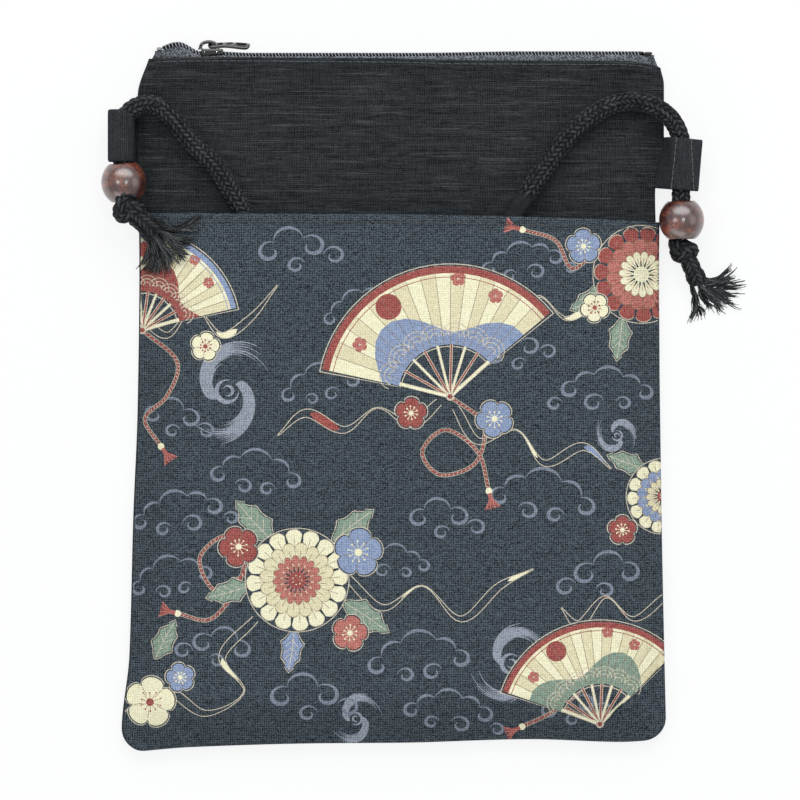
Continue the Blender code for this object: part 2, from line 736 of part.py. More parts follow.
def make_bead(name, origin, along):
    """A turned wooden bead round the strap, with a chamfer at each mouth of its hole."""
    wood = material(name + "_lacquer", (0.12, 0.035, 0.022), 0.2)
    bore = STRAP_DIAMETER / 2 + 1.2 * GAP
    mouth = bore + BEAD_CHAMFER
    half = BEAD_LENGTH / 2
    radius = BEAD_DIAMETER / 2
    profile = [(bore, -half + BEAD_CHAMFER), (mouth, -half)]
    start = math.acos(mouth / radius)
    for k in range(1, 9):
        angle = blend(-start, start, k / 9)
        profile.append((radius * math.cos(angle), half * math.sin(angle) / math.sin(start)))
    profile += [(mouth, half), (bore, half - BEAD_CHAMFER)]
    bm = bmesh.new()
    turns = 20
    rings = []
    for k in range(turns):
        angle = 2 * math.pi * k / turns
        rings.append([bm.verts.new((r * math.cos(angle), r * math.sin(angle), z)) for r, z in profile])
    for ring, after in zip(rings, rings[1:] + rings[:1]):
        for k in range(len(profile)):
            n = (k + 1) % len(profile)
            bm.faces.new((ring[k], ring[n], after[n], after[k]))
    bead = finish_mesh(name, bm, wood)
    bead.matrix_world = frame_at(origin, along)


def make_knot(name, middle):
    """A hard pulled knot: a rounded lump with three wraps standing proud."""
    cotton = material(name + "_cotton", (0.014, 0.014, 0.015), 0.95)
    bm = bmesh.new()
    bmesh.ops.create_uvsphere(bm, u_segments=14, v_segments=9, radius=1)
    for vert in bm.verts:
        x, y, z = vert.co
        wraps = 1 - KNOT_WRAP + KNOT_WRAP * math.cos(6 * math.atan2(z, x) + 4 * y)
        for axis in range(3):
            vert.co[axis] *= KNOT_SIZE[axis] / 2 * wraps
    knot = finish_mesh(name, bm, cotton, crease=60)
    knot.location = middle


def tab_outline(circles, steps=28):
    """The outline of a band drawn tight round circles of (x, z, radius), and the one a cloth inside it."""
    outer, inner = [], []
    for k in range(steps):
        angle = 2 * math.pi * k / steps
        n = Vector((math.cos(angle), math.sin(angle)))
        x, z, radius = max(circles, key=lambda c: c[0] * n.x + c[1] * n.y + c[2])
        outer.append((x + radius * n.x, z + radius * n.y))
        inner.append((x + (radius - TAB_CLOTH) * n.x, z + (radius - TAB_CLOTH) * n.y))
    return outer, inner


def make_tab(name, levels, circles_at, lean, mat):
    """A loop of cloth round the strap, through levels along Y, where lean shifts y by a point's x."""
    bm = bmesh.new()
    rings = []
    for y in levels:
        outer, inner = tab_outline(circles_at(y))
        rings.append((
            [bm.verts.new((x, y + lean(x, y), z)) for x, z in outer],
            [bm.verts.new((x, y + lean(x, y), z)) for x, z in inner],
        ))
    count = len(rings[0][0])
    for k in range(count):
        n = (k + 1) % count
        for (outer, inner), (outer_after, inner_after) in zip(rings, rings[1:]):
            bm.faces.new((outer[k], outer[n], outer_after[n], outer_after[k]))
            bm.faces.new((inner[k], inner[n], inner_after[n], inner_after[k]))
        for outer, inner in (rings[0], rings[-1]):
            bm.faces.new((outer[k], outer[n], inner[n], inner[k]))
    finish_mesh(name, bm, mat, crease=50)


def strap_at_level(line, y, side):
    """Where the strap crosses a level near the left (-1) or right (1) tab."""
    near = [p for p in line if p.x * side > HALF_WIDTH - 4 * MM]
    return min(near, key=lambda p: abs(p.y - y))


def make_tabs(line):
    black = material("tab_cloth", (0.02, 0.02, 0.022), 0.9)
    reach = STRAP_DIAMETER / 2 + GAP + TAB_SLACK + TAB_CLOTH
    seam_level = (BACK_SEAM + FRONT_SEAM + CLOTH) / 2
    end = TAB_CLOTH + TAB_SEAM_END
    window = (-TAB_EDGE_WINDOW, 0, TAB_EDGE_WINDOW)

    low = HALF_HEIGHT - TAB_LEFT_FOOT

    def left_circles(y):
        near, far = (strap_at_level(line, min(y, low + up), -1) for up in TAB_LEFT_FOLLOWS)
        edge = min(left_x(y + shift) for shift in window) - TAB_SEAM_GAP - end
        return [(near.x, near.z, reach), (far.x, far.z, reach), (edge, seam_level, end)]

    def left_lean(x, y):
        share = ease((y - low) / TAB_LEFT_LENGTH)
        inwards = (x + HALF_WIDTH + TAB_LEFT_LEAN_FROM) / TAB_LEFT_LEAN_RUN
        return -share * TAB_LEFT_LEAN * ease(inwards)

    levels = [low + TAB_LEFT_LENGTH * share for share in (0, 0.25, 0.5, 0.7, 0.85, 1)]
    make_tab("tab_left", levels, left_circles, left_lean, black)

    foot = HALF_HEIGHT - TAB_RIGHT_FOOT

    def right_circles(y):
        strap = strap_at_level(line, y, 1)
        fold = (strap.x + TAB_RIGHT_FOLD, strap.z - TAB_RIGHT_FOLD_LOWER, reach - TAB_RIGHT_FOLD_THINNER)
        edge = max(right_x(y + shift) for shift in window) + TAB_SEAM_GAP + end
        return [(strap.x, strap.z, reach), fold, (edge, seam_level, end)]

    def right_lean(x, y):
        return (HALF_WIDTH + TAB_RIGHT_LEAN_FROM - x) * TAB_RIGHT_LEAN_SHARE

    levels = [foot + TAB_RIGHT_LENGTH * share for share in (0, 0.33, 0.66, 1)]
    make_tab("tab_right", levels, right_circles, right_lean, black)


def make_tassel(name, knot, angle_low, angle_high, base_at):
    """A fan of frayed threads as one solid: it leaves the knot as a stub and lies on what base_at gives."""
    cotton = material(name + "_threads", (0.012, 0.012, 0.013), 0.95)
    bm = bmesh.new()
    middle = (angle_low + angle_high) / 2
    out = Vector((math.cos(middle), math.sin(middle)))
    across = Vector((-out.y, out.x))
    reach = math.hypot(KNOT_SIZE[0] * out.x, KNOT_SIZE[1] * out.y) / 2
    root = knot.xy + out * (reach + GAP)
    under, over = [], []
    for j in range(TASSEL_SPOKES):
        share = j / (TASSEL_SPOKES - 1)
        angle = blend(angle_low, angle_high, share)
        ragged = 0.88 + 0.12 * math.sin(2.4 * j) - 0.16 * abs(2 * share - 1)
        start = root + across * (share - 0.5) * TASSEL_ROOT
        tip = root + Vector((math.cos(angle), math.sin(angle))) * TASSEL_LENGTH * ragged
        ridge = 1 if j % 2 else 0.7
        if j in (0, TASSEL_SPOKES - 1):
            ridge = 0.35
        low_row, high_row = [], []
        for i in range(TASSEL_RINGS):
            along = i / (TASSEL_RINGS - 1)
            place = start.lerp(tip, along)
            base = base_at(place.x, place.y, along)
            thick = TASSEL_THICK * blend(1, 0.3, along) * ridge
            low_row.append(bm.verts.new((*place, base)))
            high_row.append(bm.verts.new((*place, base + thick)))
        under.append(low_row)
        over.append(high_row)
    close_sheet(bm, under, over)
    finish_mesh(name, bm, cotton, crease=60)


def pocket_top(x, y):
    """The outer height of the pocket at a place in plan."""
    side = min(x - left_x(y), right_x(y) - x)
    return pocket_lower(side, y + HALF_HEIGHT) + CLOTH + HEM_EXTRA


def make_ends(line):
    """Bead, knot and tassel on each end of the strap."""
    half = BEAD_LENGTH / 2
    far = lengths_along(line)
    total = far[-1]
    inset = BEAD_FROM_END + half - BEAD_CHAMFER
    left_bead, left_along = point_at(line, far, inset)
    right_bead, right_along = point_at(line, far, total - inset)
    make_bead("bead_left", left_bead, left_along)
    make_bead("bead_right", right_bead, right_along)

    knot_half = KNOT_SIZE[1] / 2
    left_knot = line[0] + Vector((LEFT_KNOT_SHIFT[0], -knot_half - GAP, LEFT_KNOT_SHIFT[1]))
    right_knot = line[-1] + Vector((RIGHT_KNOT_SHIFT[0], -knot_half - GAP, RIGHT_KNOT_SHIFT[1]))
    make_knot("knot_left", left_knot)
    make_knot("knot_right", right_knot)

    clear = 2 * GAP

    def on_pocket(x, y, along):
        return blend(left_knot.z - TASSEL_THICK / 2, pocket_top(x, y) + clear, ease(along * 3))

    make_tassel("tassel_left", left_knot, *LEFT_FAN, on_pocket)

    def on_floor(x, y, along):
        return blend(right_knot.z - TASSEL_THICK / 2, 2 * GAP, ease(along * 2.5))

    make_tassel("tassel_right", right_knot, *RIGHT_FAN, on_floor)


def main():
    clear_scene()
    make_panels()
    make_tapes()
    make_teeth()
    make_stops()
    make_slider()
    make_pull()
    line = smooth_through(route_points())
    make_strap(line)
    make_tabs(line)
    make_ends(line)


main()
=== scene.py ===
"""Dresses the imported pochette: woven cloth, printed pocket, zip, braided strap, beads and tassels.

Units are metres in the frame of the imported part: +X right, +Y towards the zip, +Z out of the bag's front.
"""

import math
import random

import bmesh
import bpy
from mathutils import Matrix, Vector, geometry, noise


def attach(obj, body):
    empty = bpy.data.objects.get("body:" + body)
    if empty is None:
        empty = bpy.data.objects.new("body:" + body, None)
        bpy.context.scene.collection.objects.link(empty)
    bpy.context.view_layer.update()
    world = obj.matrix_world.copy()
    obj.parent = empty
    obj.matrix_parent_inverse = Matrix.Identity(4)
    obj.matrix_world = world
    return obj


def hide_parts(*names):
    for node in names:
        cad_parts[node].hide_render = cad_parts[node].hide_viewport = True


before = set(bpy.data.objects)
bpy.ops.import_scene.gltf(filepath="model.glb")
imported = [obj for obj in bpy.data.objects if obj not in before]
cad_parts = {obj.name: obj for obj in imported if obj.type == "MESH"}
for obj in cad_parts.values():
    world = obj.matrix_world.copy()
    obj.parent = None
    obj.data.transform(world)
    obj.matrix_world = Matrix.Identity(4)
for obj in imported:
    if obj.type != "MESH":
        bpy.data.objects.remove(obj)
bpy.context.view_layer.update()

MM = 0.001

# Where the photograph's pixels lie on the bag
PIXEL = 0.36 * MM
PIXEL_X = 400
PIXEL_Y = 402.08
PICTURE = 800

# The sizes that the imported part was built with
BAG_WIDTH = 190 * MM
BAG_HEIGHT = 246 * MM
HALF_WIDTH = BAG_WIDTH / 2
HALF_HEIGHT = BAG_HEIGHT / 2
CLOTH = 0.9 * MM
COMPARTMENT = 5.6 * MM
FRONT_INNER = CLOTH + COMPARTMENT
FRONT_OUTER = FRONT_INNER + CLOTH
POCKET_INNER = FRONT_OUTER + 7.6 * MM
MOUTH = 67.5 * MM
SEAM_BAND = 2 * MM
BODY_MARGIN = 14 * MM
POCKET_MARGIN = 18 * MM
CORNER = 8 * MM
SEAM = 3.65 * MM
BACK_SEAM = 2.5 * MM
FRONT_SEAM = 3.7 * MM
POCKET_SEAM = 4.9 * MM
ZIP_GAP = 7.6 * MM
ZIP_LEVEL = CLOTH + ZIP_GAP / 2
ZIP_REACH = 14 * MM
STRAP_LEVEL = FRONT_OUTER + 3.8 * MM
STRAP_DIAMETER = 7 * MM

LEFT_EDGE = (
    (0, 5.0), (0.03, 5.5), (0.14, 2.7), (0.34, 1.3), (0.5, -0.3), (0.7, -0.9), (0.765, -0.7), (0.79, 0.1),
    (0.88, 0.3), (0.95, -0.3), (1, -4.3),
)
RIGHT_EDGE = (
    (0, 1.0), (0.1, 0.4), (0.4, -1.0), (0.7, -1.6), (0.77, -2.7), (0.81, -2.9), (0.89, 0.3),
    (0.975, 0.3), (1, -1.0),
)
POCKET_LEFT = ((0, 4.6), (0.03, 5.1), (0.14, 2.4), (0.34, 0.9), (0.5, -0.7), (0.7, -1.3), (1, -1.0))
POCKET_RIGHT = ((0, 1.2), (0.1, 0.6), (0.4, -0.8), (0.7, -1.5), (0.78, -1.3), (1, -1.0))
BOTTOM_EDGE = ((0, 3.2), (0.1, 1.6), (0.35, 0.2), (0.5, 0), (0.75, -1.3), (0.92, -0.3), (1, -1.3))
TOP_EDGE = (
    (0, 0.8), (0.055, 1.1), (0.12, 1.3), (0.2, 1.3), (0.31, 1.1), (0.5, 0.85), (0.6, 0.3), (0.7, 0.15),
    (0.88, 0.0), (0.92, -0.05), (0.955, -0.5), (0.975, -1.2), (1, -2.5),
)
MOUTH_EDGE = ((0, 0.6), (0.5, 0), (0.8, -1.2), (1, -2.7))

ROUTE_LEFT = (
    (-3.9, -50.3, -0.8), (-4.4, -44.6, -0.4), (-4.9, -38.9, -0.3), (-5.5, -32.5, -0.8), (-5.8, -26.0, -1.2),
    (-4.8, -21.6, -1.2), (-2.0, -18.0, -1.2), (2.3, -15.9, -0.9), (7.1, -16.2, -0.3), (12.2, -19.9, 0),
    (18.4, -27.5, 0), (24, -33.4, 0), (29, -38.6, 0), (32.4, -43.9, 0), (35.5, -49.1, 0), (38.6, -54.6, 0),
    (40.8, -62, 0), (39.6, -72, 0), (34.5, -82, 0), (27.5, -92, 0), (21.4, -103, 0), (19.2, -117, 0),
    (19.0, -135, 0), (19.0, -155, 0), (19.0, -175, 0), (20.2, -192, 0), (26.5, -205.5, 0), (38.5, -212.3, 0),
)
ROUTE_MIDDLE = (
    (-30, -213.6, 0), (0, -212.4, 0), (30, -213.4, 0), (52, -213.2, 0), (68, -209.5, 0), (75, -198, 0),
    (68, -186.5, 0), (52, -182.8, 0), (20, -183.6, 0), (-12, -182.4, 0), (-38, -183, 0), (-54, -179.3, 0),
    (-60.5, -168, 0), (-54, -156.7, 0), (-38, -153, 0), (-10, -153.6, 0), (22, -152.4, 0), (52, -153, 0),
    (68, -149.5, 0), (75, -138, 0), (68, -126.5, 0), (52, -123, 0), (20, -123.6, 0), (-12, -122.4, 0),
    (-38, -123, 0), (-54, -119.3, 0), (-60.5, -108, 0), (-54, -96.7, 0), (-38, -93, 0), (-14, -93.4, 0),
    (6, -91.2, 0), (22, -83, 0),
)
ROUTE_RIGHT = (
    (-60.5, -69, 0), (-52.7, -53.7, 0), (-47.1, -44.5, 0), (-40.3, -34.9, 0), (-33, -25.8, 0),
    (-25, -19.2, 0), (-17.7, -15.6, 0), (-10, -14.6, 0), (-3.2, -16.6, -0.3), (2.3, -20.6, -0.8),
    (5.6, -26.5, -1.5), (6.6, -34.5, -2.3), (6.3, -42, -2.8), (6.3, -50.3, -3.1), (6.5, -57.1, -3.2),
    (6.7, -63.9, -3.3),
)


def on_bag(pixel_x, pixel_y):
    """The place in metres of a pixel of the photograph."""
    return (pixel_x - PIXEL_X) * PIXEL, (PIXEL_Y - pixel_y) * PIXEL


def clamp(t):
    return max(0.0, min(1.0, t))


def blend(a, b, t):
    return a + (b - a) * t


def ease(t):
    t = clamp(t)
    return t * t * (3 - 2 * t)


def turns(count):
    """The angles of evenly spaced points on a circle."""
    return [2 * math.pi * k / count for k in range(count)]


def smooth_table(table):
    """A smooth curve through (place, value) pairs that doesn't overshoot them."""
    xs, ys = zip(*table)
    rises = [(ys[k + 1] - ys[k]) / (xs[k + 1] - xs[k]) for k in range(len(xs) - 1)]
    slopes = [rises[0]]
    for a, b in zip(rises, rises[1:]):
        slopes.append(0.0 if a * b <= 0 else 2 * a * b / (a + b))
    slopes.append(rises[-1])

    def at(x):
        x = min(max(x, xs[0]), xs[-1])
        k = 0
        while k < len(xs) - 2 and x > xs[k + 1]:
            k += 1
        wide = xs[k + 1] - xs[k]
        t = (x - xs[k]) / wide
        t2, t3 = t * t, t * t * t
        return (
            (2 * t3 - 3 * t2 + 1) * ys[k] + (t3 - 2 * t2 + t) * wide * slopes[k]
            + (3 * t2 - 2 * t3) * ys[k + 1] + (t3 - t2) * wide * slopes[k + 1]
        )

    return at


class Panel:
    """A sewn panel's outline: wandering edges, round lower corners, and a top edge at a height."""

    def __init__(self, left, right, top, top_edge):
        self.left, self.right = smooth_table(left), smooth_table(right)
        self.bottom, self.edge = smooth_table(BOTTOM_EDGE), smooth_table(top_edge)
        self.top = top

    def drops(self, x):
        share = (x + HALF_WIDTH) / BAG_WIDTH
        return -self.bottom(share) * MM, self.edge(share) * MM

    def place(self, x, flat):
        down, up = self.drops(x)
        return flat + blend(down, up, (flat + HALF_HEIGHT) / (self.top + HALF_HEIGHT))

    def limits(self, flat):
        share = (flat + HALF_HEIGHT) / BAG_HEIGHT
        up = CORNER - (flat + HALF_HEIGHT)
        inset = CORNER - math.sqrt(max(0.0, CORNER**2 - up**2)) if up > 0 else 0.0
        return -HALF_WIDTH - self.left(share) * MM + inset, HALF_WIDTH + self.right(share) * MM - inset

    def distances(self, x, y):
        """The distances to the nearer side, to the bottom and to the top edge."""
        down, up = self.drops(x)
        slope = (up - down) / (self.top + HALF_HEIGHT)
        flat = (y - down - slope * HALF_HEIGHT) / (1 + slope)
        low, high = self.limits(flat)
        return min(x - low, high - x), flat + HALF_HEIGHT, self.top - flat


BODY = Panel(LEFT_EDGE, RIGHT_EDGE, HALF_HEIGHT, TOP_EDGE)
POCKET = Panel(POCKET_LEFT, POCKET_RIGHT, MOUTH, MOUTH_EDGE)


# Cloth surfaces

HEM = 3.2 * MM
HEM_EXTRA = 0.5 * MM
FOLDED = CLOTH + HEM_EXTRA
FOLD_RADIUS = 0.9 * MM
EDGE_RADIUS = 1.5 * MM
STITCH = 3 * MM
STITCH_GROOVE = 0.5 * MM
TOPSTITCH = 2.9 * MM
ZIP_STITCH = 1.4 * MM


def fullness(side, bottom, margin):
    """0 in a pressed seam, rising to 1 where the cloth stands clear of it."""
    both = 1.0
    for distance in (side, bottom):
        both *= math.sin(math.pi / 2 * clamp((distance - SEAM_BAND) / (margin - SEAM_BAND)))
    return both


def quarter(distance, radius):
    """0 at an edge, rising as a quarter circle to 1 at the radius."""
    return math.sqrt(max(0.0, 1 - (1 - clamp(distance / radius)) ** 2))


def soft_noise(x, y, size, seed):
    return noise.noise(Vector((x / size, y / size, seed)))


def wrinkles(x, y, seed):
    """Slow waves of the cloth and finer ones, in metres."""
    return soft_noise(x, y, 34 * MM, seed) * 0.5 * MM + soft_noise(x * 0.6, y, 9 * MM, seed + 7) * 0.11 * MM


def seam_pull(along, distance, seed):
    """Small tucks that run in from a sewn edge and fade out."""
    waves = soft_noise(along, 0, 7 * MM, seed) + 0.6 * soft_noise(along, 0, 3.1 * MM, seed + 3)
    return waves * 0.32 * MM * math.exp(-distance / (6 * MM)) * clamp(distance / (1.2 * MM))


def hem_shape(x, top, seam):
    """The turned edge's extra thickness, with the topstitch's groove and its needle holes."""
    step = HEM_EXTRA * (1 - ease((top - HEM) / STITCH_GROOVE))
    groove = math.exp(-(((top - seam) / STITCH_GROOVE) ** 2))
    needle = 0.5 + 0.5 * math.cos(2 * math.pi * x / STITCH)
    return step - groove * (0.14 + 0.26 * needle) * MM


def rolled(z, at, thick):
    """A height drawn to the seam at the sides and round the fold; an underside's thickness is negative."""
    side, bottom, top = at
    z = blend(SEAM, z, quarter(min(side, bottom), EDGE_RADIUS))
    return z - thick / 2 * (1 - quarter(top, FOLD_RADIUS))


def front_base(side, bottom, top):
    rise = (ZIP_GAP - COMPARTMENT) * ease(1 - top / ZIP_REACH)
    return blend(FRONT_SEAM, FRONT_INNER + rise, fullness(side, bottom, BODY_MARGIN))


def back_base(side, bottom):
    return BACK_SEAM * (1 - fullness(side, bottom, BODY_MARGIN))


def pocket_base(side, bottom):
    return blend(POCKET_SEAM, POCKET_INNER, fullness(side, bottom, POCKET_MARGIN))


def front_top(x, y):
    side, bottom, top = at = BODY.distances(x, y)
    z = front_base(*at) + CLOTH + hem_shape(x, top, ZIP_STITCH)
    z += wrinkles(x, y, 3.7) * ease(min(side, bottom) / (20 * MM)) * ease(top / (12 * MM))
    return rolled(z + seam_pull(y, side, 11.3) + seam_pull(x, top, 19.1) * 0.5, at, FOLDED)


def front_under(x, y):
    at = BODY.distances(x, y)
    return rolled(front_base(*at), at, -FOLDED)


def back_top(x, y):
    at = BODY.distances(x, y)
    return rolled(back_base(*at[:2]) + CLOTH, at, CLOTH)


def back_under(x, y):
    at = BODY.distances(x, y)
    return rolled(back_base(*at[:2]) + max(0.0, seam_pull(y, at[0], 31.3)), at, -CLOTH)


def pocket_top(x, y):
    side, bottom, top = at = POCKET.distances(x, y)
    z = pocket_base(side, bottom) + CLOTH + hem_shape(x, top, TOPSTITCH)
    z += wrinkles(x, y, 8.2) * ease(min(side, bottom) / (25 * MM))
    return rolled(z + seam_pull(y, side, 23.9) + seam_pull(x, bottom, 27.4), at, FOLDED)


def pocket_under(x, y):
    at = POCKET.distances(x, y)
    return rolled(pocket_base(*at[:2]), at, -FOLDED)


# Materials

LINT_BLACK = (120, 122, 122)
LINT_RIB = (128, 128, 126)
LINT_TAB = (134, 134, 132)


def linear(colour):
    """An sRGB colour in 0 to 255 made linear. A socket, or a colour that is linear already, stays."""
    if not isinstance(colour, tuple) or len(colour) == 4:
        return colour
    parts = [value / 255 for value in colour]
    return (*(part / 12.92 if part <= 0.04045 else ((part + 0.055) / 1.055) ** 2.4 for part in parts), 1.0)


class Look:
    """A material with its Principled shader, and short calls for its nodes. Sizes are in millimetres."""

    def __init__(self, name, specular, **settings):
        self.mat = bpy.data.materials.new(name)
        self.mat.use_nodes = True
        self.tree = self.mat.node_tree
        self.shader = self.tree.nodes["Principled BSDF"]
        self.set("Specular IOR Level", specular)
        for key, value in settings.items():
            self.set(key.replace("_", " "), value)

    def set(self, key, value, node=None):
        """Gives a socket of the shader, or of another node, a constant or the output of a node."""
        socket = (node or self.shader).inputs[key]
        if isinstance(value, bpy.types.NodeSocket):
            self.tree.links.new(value, socket)
        else:
            socket.default_value = value

    def node(self, kind, sockets, output=0, **settings):
        node = self.tree.nodes.new("ShaderNode" + kind)
        for key, value in settings.items():
            setattr(node, key, value)
        for key, value in sockets.items():
            self.set(key, value, node)
        return node.outputs[output]

    def noise(self, sizes, seed, detail=1.0):
        """Noise with features of one size, or of three; 0 means no change along that axis."""
        sizes = sizes if isinstance(sizes, tuple) else (sizes,) * 3
        vector = self.node("Mapping", {
            "Vector": self.node("TexCoord", {}, "Object"),
            "Scale": [1 / (size * MM) if size else 0.0 for size in sizes],
            "Location": (seed, seed * 1.7, seed * 0.3),
        })
        return self.node("TexNoise", {"Vector": vector, "Scale": 1.0, "Detail": detail}, "Fac")

    def along(self, axis):
        """The place along an axis of the object."""
        return self.node("SeparateXYZ", {"Vector": self.node("TexCoord", {}, "Object")}, axis)

    def groove(self):
        """The tone that the mesh itself stores at each point, painted shade included."""
        return self.node("Attribute", {}, "Fac", attribute_name="groove")

    def ranged(self, value, low, high, to_low=0.0, to_high=1.0):
        sockets = {"Value": value, "From Min": low, "From Max": high, "To Min": to_low, "To Max": to_high}
        return self.node("MapRange", sockets)

    def math(self, operation, a, b=0.0):
        return self.node("Math", {0: a, 1: b}, operation=operation)

    def mix(self, factor, a, b):
        return self.node("Mix", {0: factor, 6: linear(a), 7: linear(b)}, 2, data_type="RGBA")

    def total(self, *parts):
        """A half, and each (value, middle, share): how far the value is from its middle, times its share."""
        total = 0.5
        for value, middle, share in parts:
            apart = self.math("SUBTRACT", value, middle)
            total = self.math("ADD", total, self.math("MULTIPLY", apart, share))
        return total

    def threads(self, pitch, seed):
        """Sines across the cloth's threads in both directions, a little uneven as woven threads are."""
        waves = []
        for axis in (0, 1):
            wander = self.math("MULTIPLY", self.noise((3.1, 3.7, 0), seed + axis * 9), 3.0)
            phase = self.math("DIVIDE", self.along(axis), pitch[axis] * MM / math.pi)
            waves.append(self.math("SINE", self.math("ADD", phase, wander)))
        return waves

    def hatch(self, run, thread, seed):
        """Long thin streaks across each other, as the threads of both directions."""
        return self.noise((run, thread, 0), seed), self.noise((thread, run, 0), seed + 5)

    def finish(self, colour, tone, rough, height, depth, strength):
        """Sets the colour, a roughness that follows a tone, and a bump, and gives the material."""
        self.set("Base Color", colour)
        self.set("Roughness", self.ranged(tone, *rough))
        sockets = {"Height": height, "Distance": depth * MM, "Strength": strength}
        self.set("Normal", self.node("Bump", sockets))
        return self.mat


def printed_cloth(name, dark, light):
    """Plain woven cotton in one printed colour, whose threads show lighter and darker."""
    look = Look(name, 0.08)
    across, along = look.hatch(1.6, 0.42, 2.0)
    warp, weft = look.threads((0.41, 0.41), 3.0)
    fleck = look.noise((0.44, 0.44, 0), 17.0, 0.0)
    weave = look.total(
        (warp, 0, 0.2), (weft, 0, 0.2), (across, 0.5, 1.15), (along, 0.5, 1.0), (fleck, 0.5, 1.6),
    )
    colour = look.mix(look.ranged(weave, 0, 1), dark, light)
    return look.finish(colour, weave, (0, 1, 0.86, 0.98), weave, 0.1, 0.45)


def slub_cloth(name, dark, light, slub):
    """Black cotton with a fine grid of threads, long thin slubs along X and a little lint."""
    look = Look(name, 0.1)
    across, along = look.hatch(5.5, 0.5, 9.0)
    warp, weft = look.threads((0.42, 0.4), 13.0)
    fleck = look.noise((0.5, 0.45, 0), 21.0, 0.0)
    bands = look.noise((26, 0.9, 0), 63.0, 2.0)
    weave = look.total(
        (warp, 0, 0.17), (weft, 0, 0.13), (across, 0.5, 1.0), (along, 0.5, 0.6), (fleck, 0.5, 0.8),
        (bands, 0.5, 0.8),
    )
    slubs = look.ranged(look.noise((24, 0.48, 0), 31.0), 0.55, 0.68)
    slubs = look.math("MULTIPLY", slubs, look.ranged(look.noise((12, 2.2, 0), 47.0), 0.42, 0.6))
    slubs = look.math("MULTIPLY", slubs, look.ranged(fleck, 0.3, 0.7, 0.35, 1.0))
    lint = look.ranged(look.noise((0.7, 0.6, 0), 57.0), 0.785, 0.85)
    colour = look.mix(slubs, look.mix(look.ranged(weave, 0, 1), dark, light), slub)
    height = look.math("ADD", look.math("MULTIPLY", weave, 0.5), look.math("MULTIPLY", slubs, 0.8))
    return look.finish(look.mix(lint, colour, LINT_BLACK), weave, (0, 1, 0.85, 0.98), height, 0.22, 0.7)


def ribbed_thread(name, dark, light, rib, seed):
    """Sewing thread: fine ribs along X, with a little lint."""
    look = Look(name, 0.14)
    ribs = look.noise((12, rib * 0.6, rib * 0.6), seed)
    tone = look.total((ribs, 0.5, 1.1), (look.noise(0.4, seed + 4), 0.5, 1.3))
    lint = look.ranged(look.noise(0.8, seed + 9), 0.74, 0.82)
    colour = look.mix(look.ranged(tone, 0, 1), dark, light)
    return look.finish(look.mix(lint, colour, LINT_RIB), tone, (0, 1, 0.8, 0.97), tone, 0.2, 0.7)


def tab_cotton(name, dark, light, ribs):
    """Tab cloth: ribs, with painted shade in their hollows and on the tongue, through the mesh's own tone;
    streaks, a fine grain, and lint.
    """
    look = Look(name, 0.14)
    streaks = look.noise((0.5, 7, 0.5), 5.0)
    tone = look.total((look.groove(), 0.5, ribs), (streaks, 0.5, 0.7), (look.noise(0.42, 9.0), 0.5, 1.4))
    lint = look.ranged(look.noise(0.7, 29.0), 0.75, 0.83)
    colour = look.mix(look.ranged(tone, 0, 1), dark, light)
    return look.finish(look.mix(lint, colour, LINT_TAB), tone, (0, 1, 0.8, 0.97), tone, 0.16, 0.6)


def twill_tape(name, dark, light):
    """Zip tape: fine chevrons of twill."""
    look = Look(name, 0.2)
    slant = look.math("ADD", look.along(0), look.math("PINGPONG", look.along(1), 1.3 * MM))
    ribs = look.math("SINE", look.math("DIVIDE", slant, 1.0 * MM / (2 * math.pi)))
    tone = look.total((ribs, 0, 0.3), (look.noise((0.55, 0.55, 0), 8.0), 0.5, 2.8))
    colour = look.mix(look.ranged(tone, 0, 1), dark, light)
    return look.finish(colour, tone, (0, 1, 0.7, 0.95), tone, 0.12, 0.5)


def braid_cotton(name, dark, light):
    """Black cotton yarn: each strand's own fine fibres, with painted shade in the grooves that the mesh
    stores.
    """
    look = Look(name, 0.22)
    fibres = look.noise(0.42, 4.0)
    lint = look.math("MULTIPLY", look.ranged(look.noise(0.8, 14.0), 0.7, 0.8), 0.6)
    # Painted shade: the stored tone darkens the yarn in the grooves between strands.
    shade = look.math("MULTIPLY", look.groove(), look.ranged(fibres, 0.32, 0.68, 0.15, 1.55))
    colour = look.mix(lint, look.mix(shade, dark, light), LINT_BLACK)
    return look.finish(colour, fibres, (0.3, 0.7, 0.68, 0.95), fibres, 0.12, 0.8)


def coil_nylon():
    """The teeth's black monofilament, a little scuffed."""
    look = Look("coil_nylon", 0.35)
    scuff = look.noise(0.9, 6.0, 3.0)
    colour = look.mix(look.ranged(scuff, 0.35, 0.7), (3, 3, 4), (14, 14, 16))
    return look.finish(colour, scuff, (0.3, 0.7, 0.16, 0.36), scuff, 0.03, 0.4)


def black_enamel():
    """Enamelled zinc: glossy, with faint orange peel and a few dull scuffs."""
    look = Look("black_enamel", 0.5, Coat_Weight=1.0, Coat_Roughness=0.04, Coat_IOR=1.75)
    scuff = look.noise(2.5, 25.0, 3.0)
    colour = look.mix(look.ranged(scuff, 0.6, 0.85), (1, 1, 2), (12, 12, 14))
    return look.finish(colour, scuff, (0.55, 0.85, 0.06, 0.24), look.noise(0.9, 21.0, 2.0), 0.02, 0.25)


def bright_nickel():
    """Plated steel wire, bent and clamped: bright, with fine rolling marks."""
    look = Look("bright_nickel", 0.5, Metallic=1.0)
    marks = look.noise((0.9, 0.15, 0.15), 33.0, 2.0)
    colour = look.mix(look.ranged(marks, 0.35, 0.7), (226, 228, 231), (168, 171, 176))
    return look.finish(colour, marks, (0.3, 0.75, 0.14, 0.34), marks, 0.03, 0.4)


